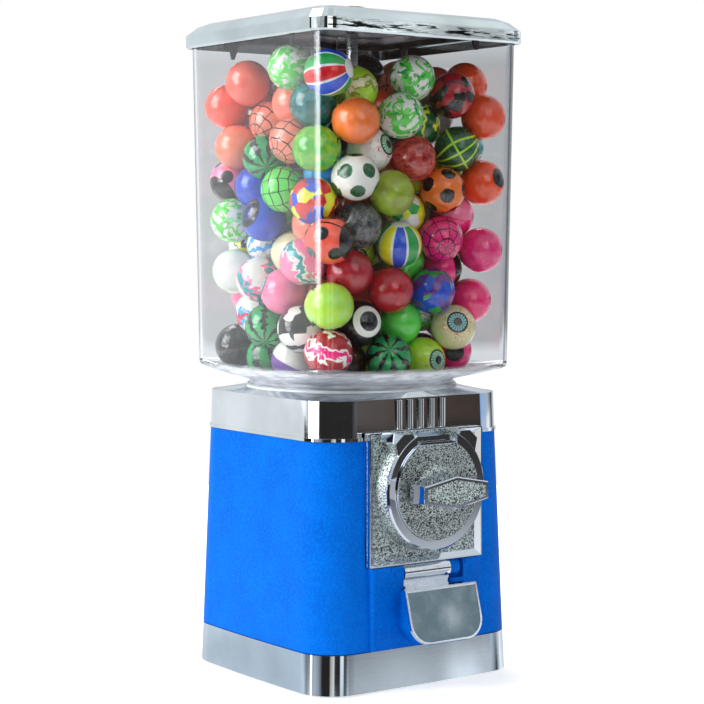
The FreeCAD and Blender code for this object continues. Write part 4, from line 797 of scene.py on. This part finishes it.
def studio_world():
    """White to look at and to light with; bright and dark panels for the metal to mirror."""
    world = bpy.data.worlds.new("studio")
    bpy.context.scene.world = world
    world.use_nodes = True
    tree = world.node_tree
    tree.nodes.clear()

    def join(value, socket):
        if isinstance(value, bpy.types.NodeSocket):
            tree.links.new(value, socket)
        else:
            socket.default_value = value

    def number(operation, *values):
        node = tree.nodes.new("ShaderNodeMath")
        node.operation = operation
        for index, value in enumerate(values):
            join(value, node.inputs[index])
        return node.outputs[0]

    def ramp(value, stops):
        node = tree.nodes.new("ShaderNodeValToRGB")
        join(value, node.inputs[0])
        marks = node.color_ramp.elements
        marks[0].position, marks[1].position = stops[0][0], stops[-1][0]
        for position, _ in stops[1:-1]:
            marks.new(position)
        for mark, (_, colour) in zip(marks, stops):
            mark.color = (*(channel / BRIGHTEST for channel in colour), 1)
        scaled = tree.nodes.new("ShaderNodeVectorMath")
        scaled.operation = "SCALE"
        join(node.outputs[0], scaled.inputs[0])
        join(BRIGHTEST, scaled.inputs["Scale"])
        return scaled.outputs[0]

    def fade(value, low, high):
        node = tree.nodes.new("ShaderNodeMapRange")
        for socket, setting in (("Value", value), ("From Min", low), ("From Max", high)):
            join(setting, node.inputs[socket])
        return node.outputs[0]

    def blend(share, a, b):
        node = tree.nodes.new("ShaderNodeMix")
        node.data_type = "RGBA"
        for index, value in ((0, share), (6, a), (7, b)):
            join(value, node.inputs[index])
        return node.outputs[2]

    def light(colour):
        node = tree.nodes.new("ShaderNodeBackground")
        join(colour, node.inputs[0])
        return node.outputs[0]

    def pick(share, a, b):
        node = tree.nodes.new("ShaderNodeMixShader")
        for index, value in enumerate((share, a, b)):
            join(value, node.inputs[index])
        return node.outputs[0]

    way = tree.nodes.new("ShaderNodeTexCoord").outputs["Generated"]

    def cloudy(stretch, scale):
        mapped = tree.nodes.new("ShaderNodeMapping")
        join(way, mapped.inputs["Vector"])
        mapped.inputs["Scale"].default_value = stretch
        noise = tree.nodes.new("ShaderNodeTexNoise")
        join(mapped.outputs[0], noise.inputs["Vector"])
        join(scale, noise.inputs["Scale"])
        return noise.outputs[0]

    split = tree.nodes.new("ShaderNodeSeparateXYZ")
    join(way, split.inputs[0])
    x, y, z = split.outputs
    share = number("ADD", number("DIVIDE", number("ARCTAN2", y, x), 2 * math.pi), 0.5)
    ground = blend(fade(z, -0.5, -0.38), (1.1, 1.12, 1.15, 1), ramp(share, GROUND_STOPS))
    lower = blend(fade(z, -0.17, -0.13), ground, ramp(share, LOW_STOPS))
    shrubs = cloudy((26.0, 26.0, 400.0), 1.0)
    ahead = number("LESS_THAN", share, 0.45)
    upper = blend(number("MULTIPLY", fade(shrubs, 0.47, 0.52), ahead), ramp(share, HIGH_STOPS),
                  (*DARK, 1))
    level = blend(fade(z, -0.062, -0.056), lower, ramp(share, GLASS_STOPS))
    wall = blend(fade(z, 0.085, 0.1), level, upper)
    sky = blend(fade(cloudy((1.0, 1.0, 1.0), 4.0), 0.4, 0.62), (0.7, 0.77, 0.8, 1),
                (1.05, 1.09, 1.1, 1))
    mirrored = blend(fade(z, 0.36, 0.6), wall, sky)
    soft = number("MULTIPLY_ADD", x, -0.22, 0.5)
    path = tree.nodes.new("ShaderNodeLightPath").outputs
    seen = pick(path["Is Diffuse Ray"], light((1.0, 1.0, 1.0, 1)), light(soft))
    join(pick(path["Is Glossy Ray"], seen, light(mirrored)),
         tree.nodes.new("ShaderNodeOutputWorld").inputs[0])


def aim_camera():
    camera = bpy.data.cameras.new("camera")
    camera.lens = 98.77
    camera.sensor_width = 36.0
    camera.clip_end = 60.0
    thing = bpy.data.objects.new("camera", camera)
    place, target = Vector((-0.8102, -1.1191, 0.3114)), Vector((0.0004, -0.0002, 0.2253))
    thing.location = place
    thing.rotation_euler = (target - place).to_track_quat("-Z", "Y").to_euler()
    bpy.context.scene.collection.objects.link(thing)
    bpy.context.scene.camera = thing


# ---------------------------------------------------------------- dress the machine

dress(chrome("base_chrome", (206, 218, 228)).material, "base_tray")
dress(chrome("ring_chrome", (218, 224, 228)).material, "top_ring")
dress(lid_metal(), "lid")
dress(chrome("lock_chrome", (208, 216, 228)).material, "lock_housing")
dress(brushed("lock_brass", (206, 170, 96)), "lock_plug")
dress(plate_metal(), "mech_plate")
dress(disc_metal(), "front_disc")
dress(handle_metal(), "handle")
dress(door_metal(), "chute_door")
dress(blue_paint(), "body_shell")
dress(clear_plastic(), "globe")
dress(moulded("black_rubber", (30, 30, 31), 0.7), "rubber_feet")
dress(moulded("gasket_silicone", (196, 202, 204), 0.4), "globe_gasket")
dress(moulded("housing_plastic", (52, 52, 55)), "wheel_housing", "brush_cover")
dress(moulded("wheel_plastic", (196, 196, 190)), "ball_wheel", "agitator")
dress(moulded("chute_plastic", (150, 152, 156)), "ball_chute")
dress(moulded("tray_plastic", (42, 42, 46)), "coin_tray")
dress(moulded("gear_nylon", (226, 224, 210)), "drive_gear", "idler_gear")
dress(moulded("bristle_nylon", (214, 204, 178), 0.6, 5000.0), "wiper_brush")
dress(brushed("steel", (190, 192, 196)), "centre_rod", "rod_nut", "rod_washer", "drive_shaft",
      "coin_wheel", "ratchet_wheel", "shaft_clip", "mech_frame", "mech_posts", "mech_screws",
      "plate_screws", "idler_stud", "pawl", "pawl_pin", "pawl_spring", "door_pin")

BALL_FORM = unit_ball()
BALL_MATERIALS = {name: build() for name, build in PATTERNS.items()}
scatter_balls()

stage_floor()
studio_world()
softbox("key_left", (-2.2, 0.6, 1.5), (0, 0, 0.25), (1.6, 1.6), 74.0)
softbox("fill_front", (-0.4, -2.4, 1.3), (0, 0, 0.2), (1.4, 1.4), 12.0)
softbox("top_back", (0.3, 1.6, 2.4), (0, 0, 0.3), (2.0, 1.2), 34.0)
aim_camera()
bpy.context.scene.view_settings.view_transform = "Standard"
bpy.context.scene.view_settings.look = "None"
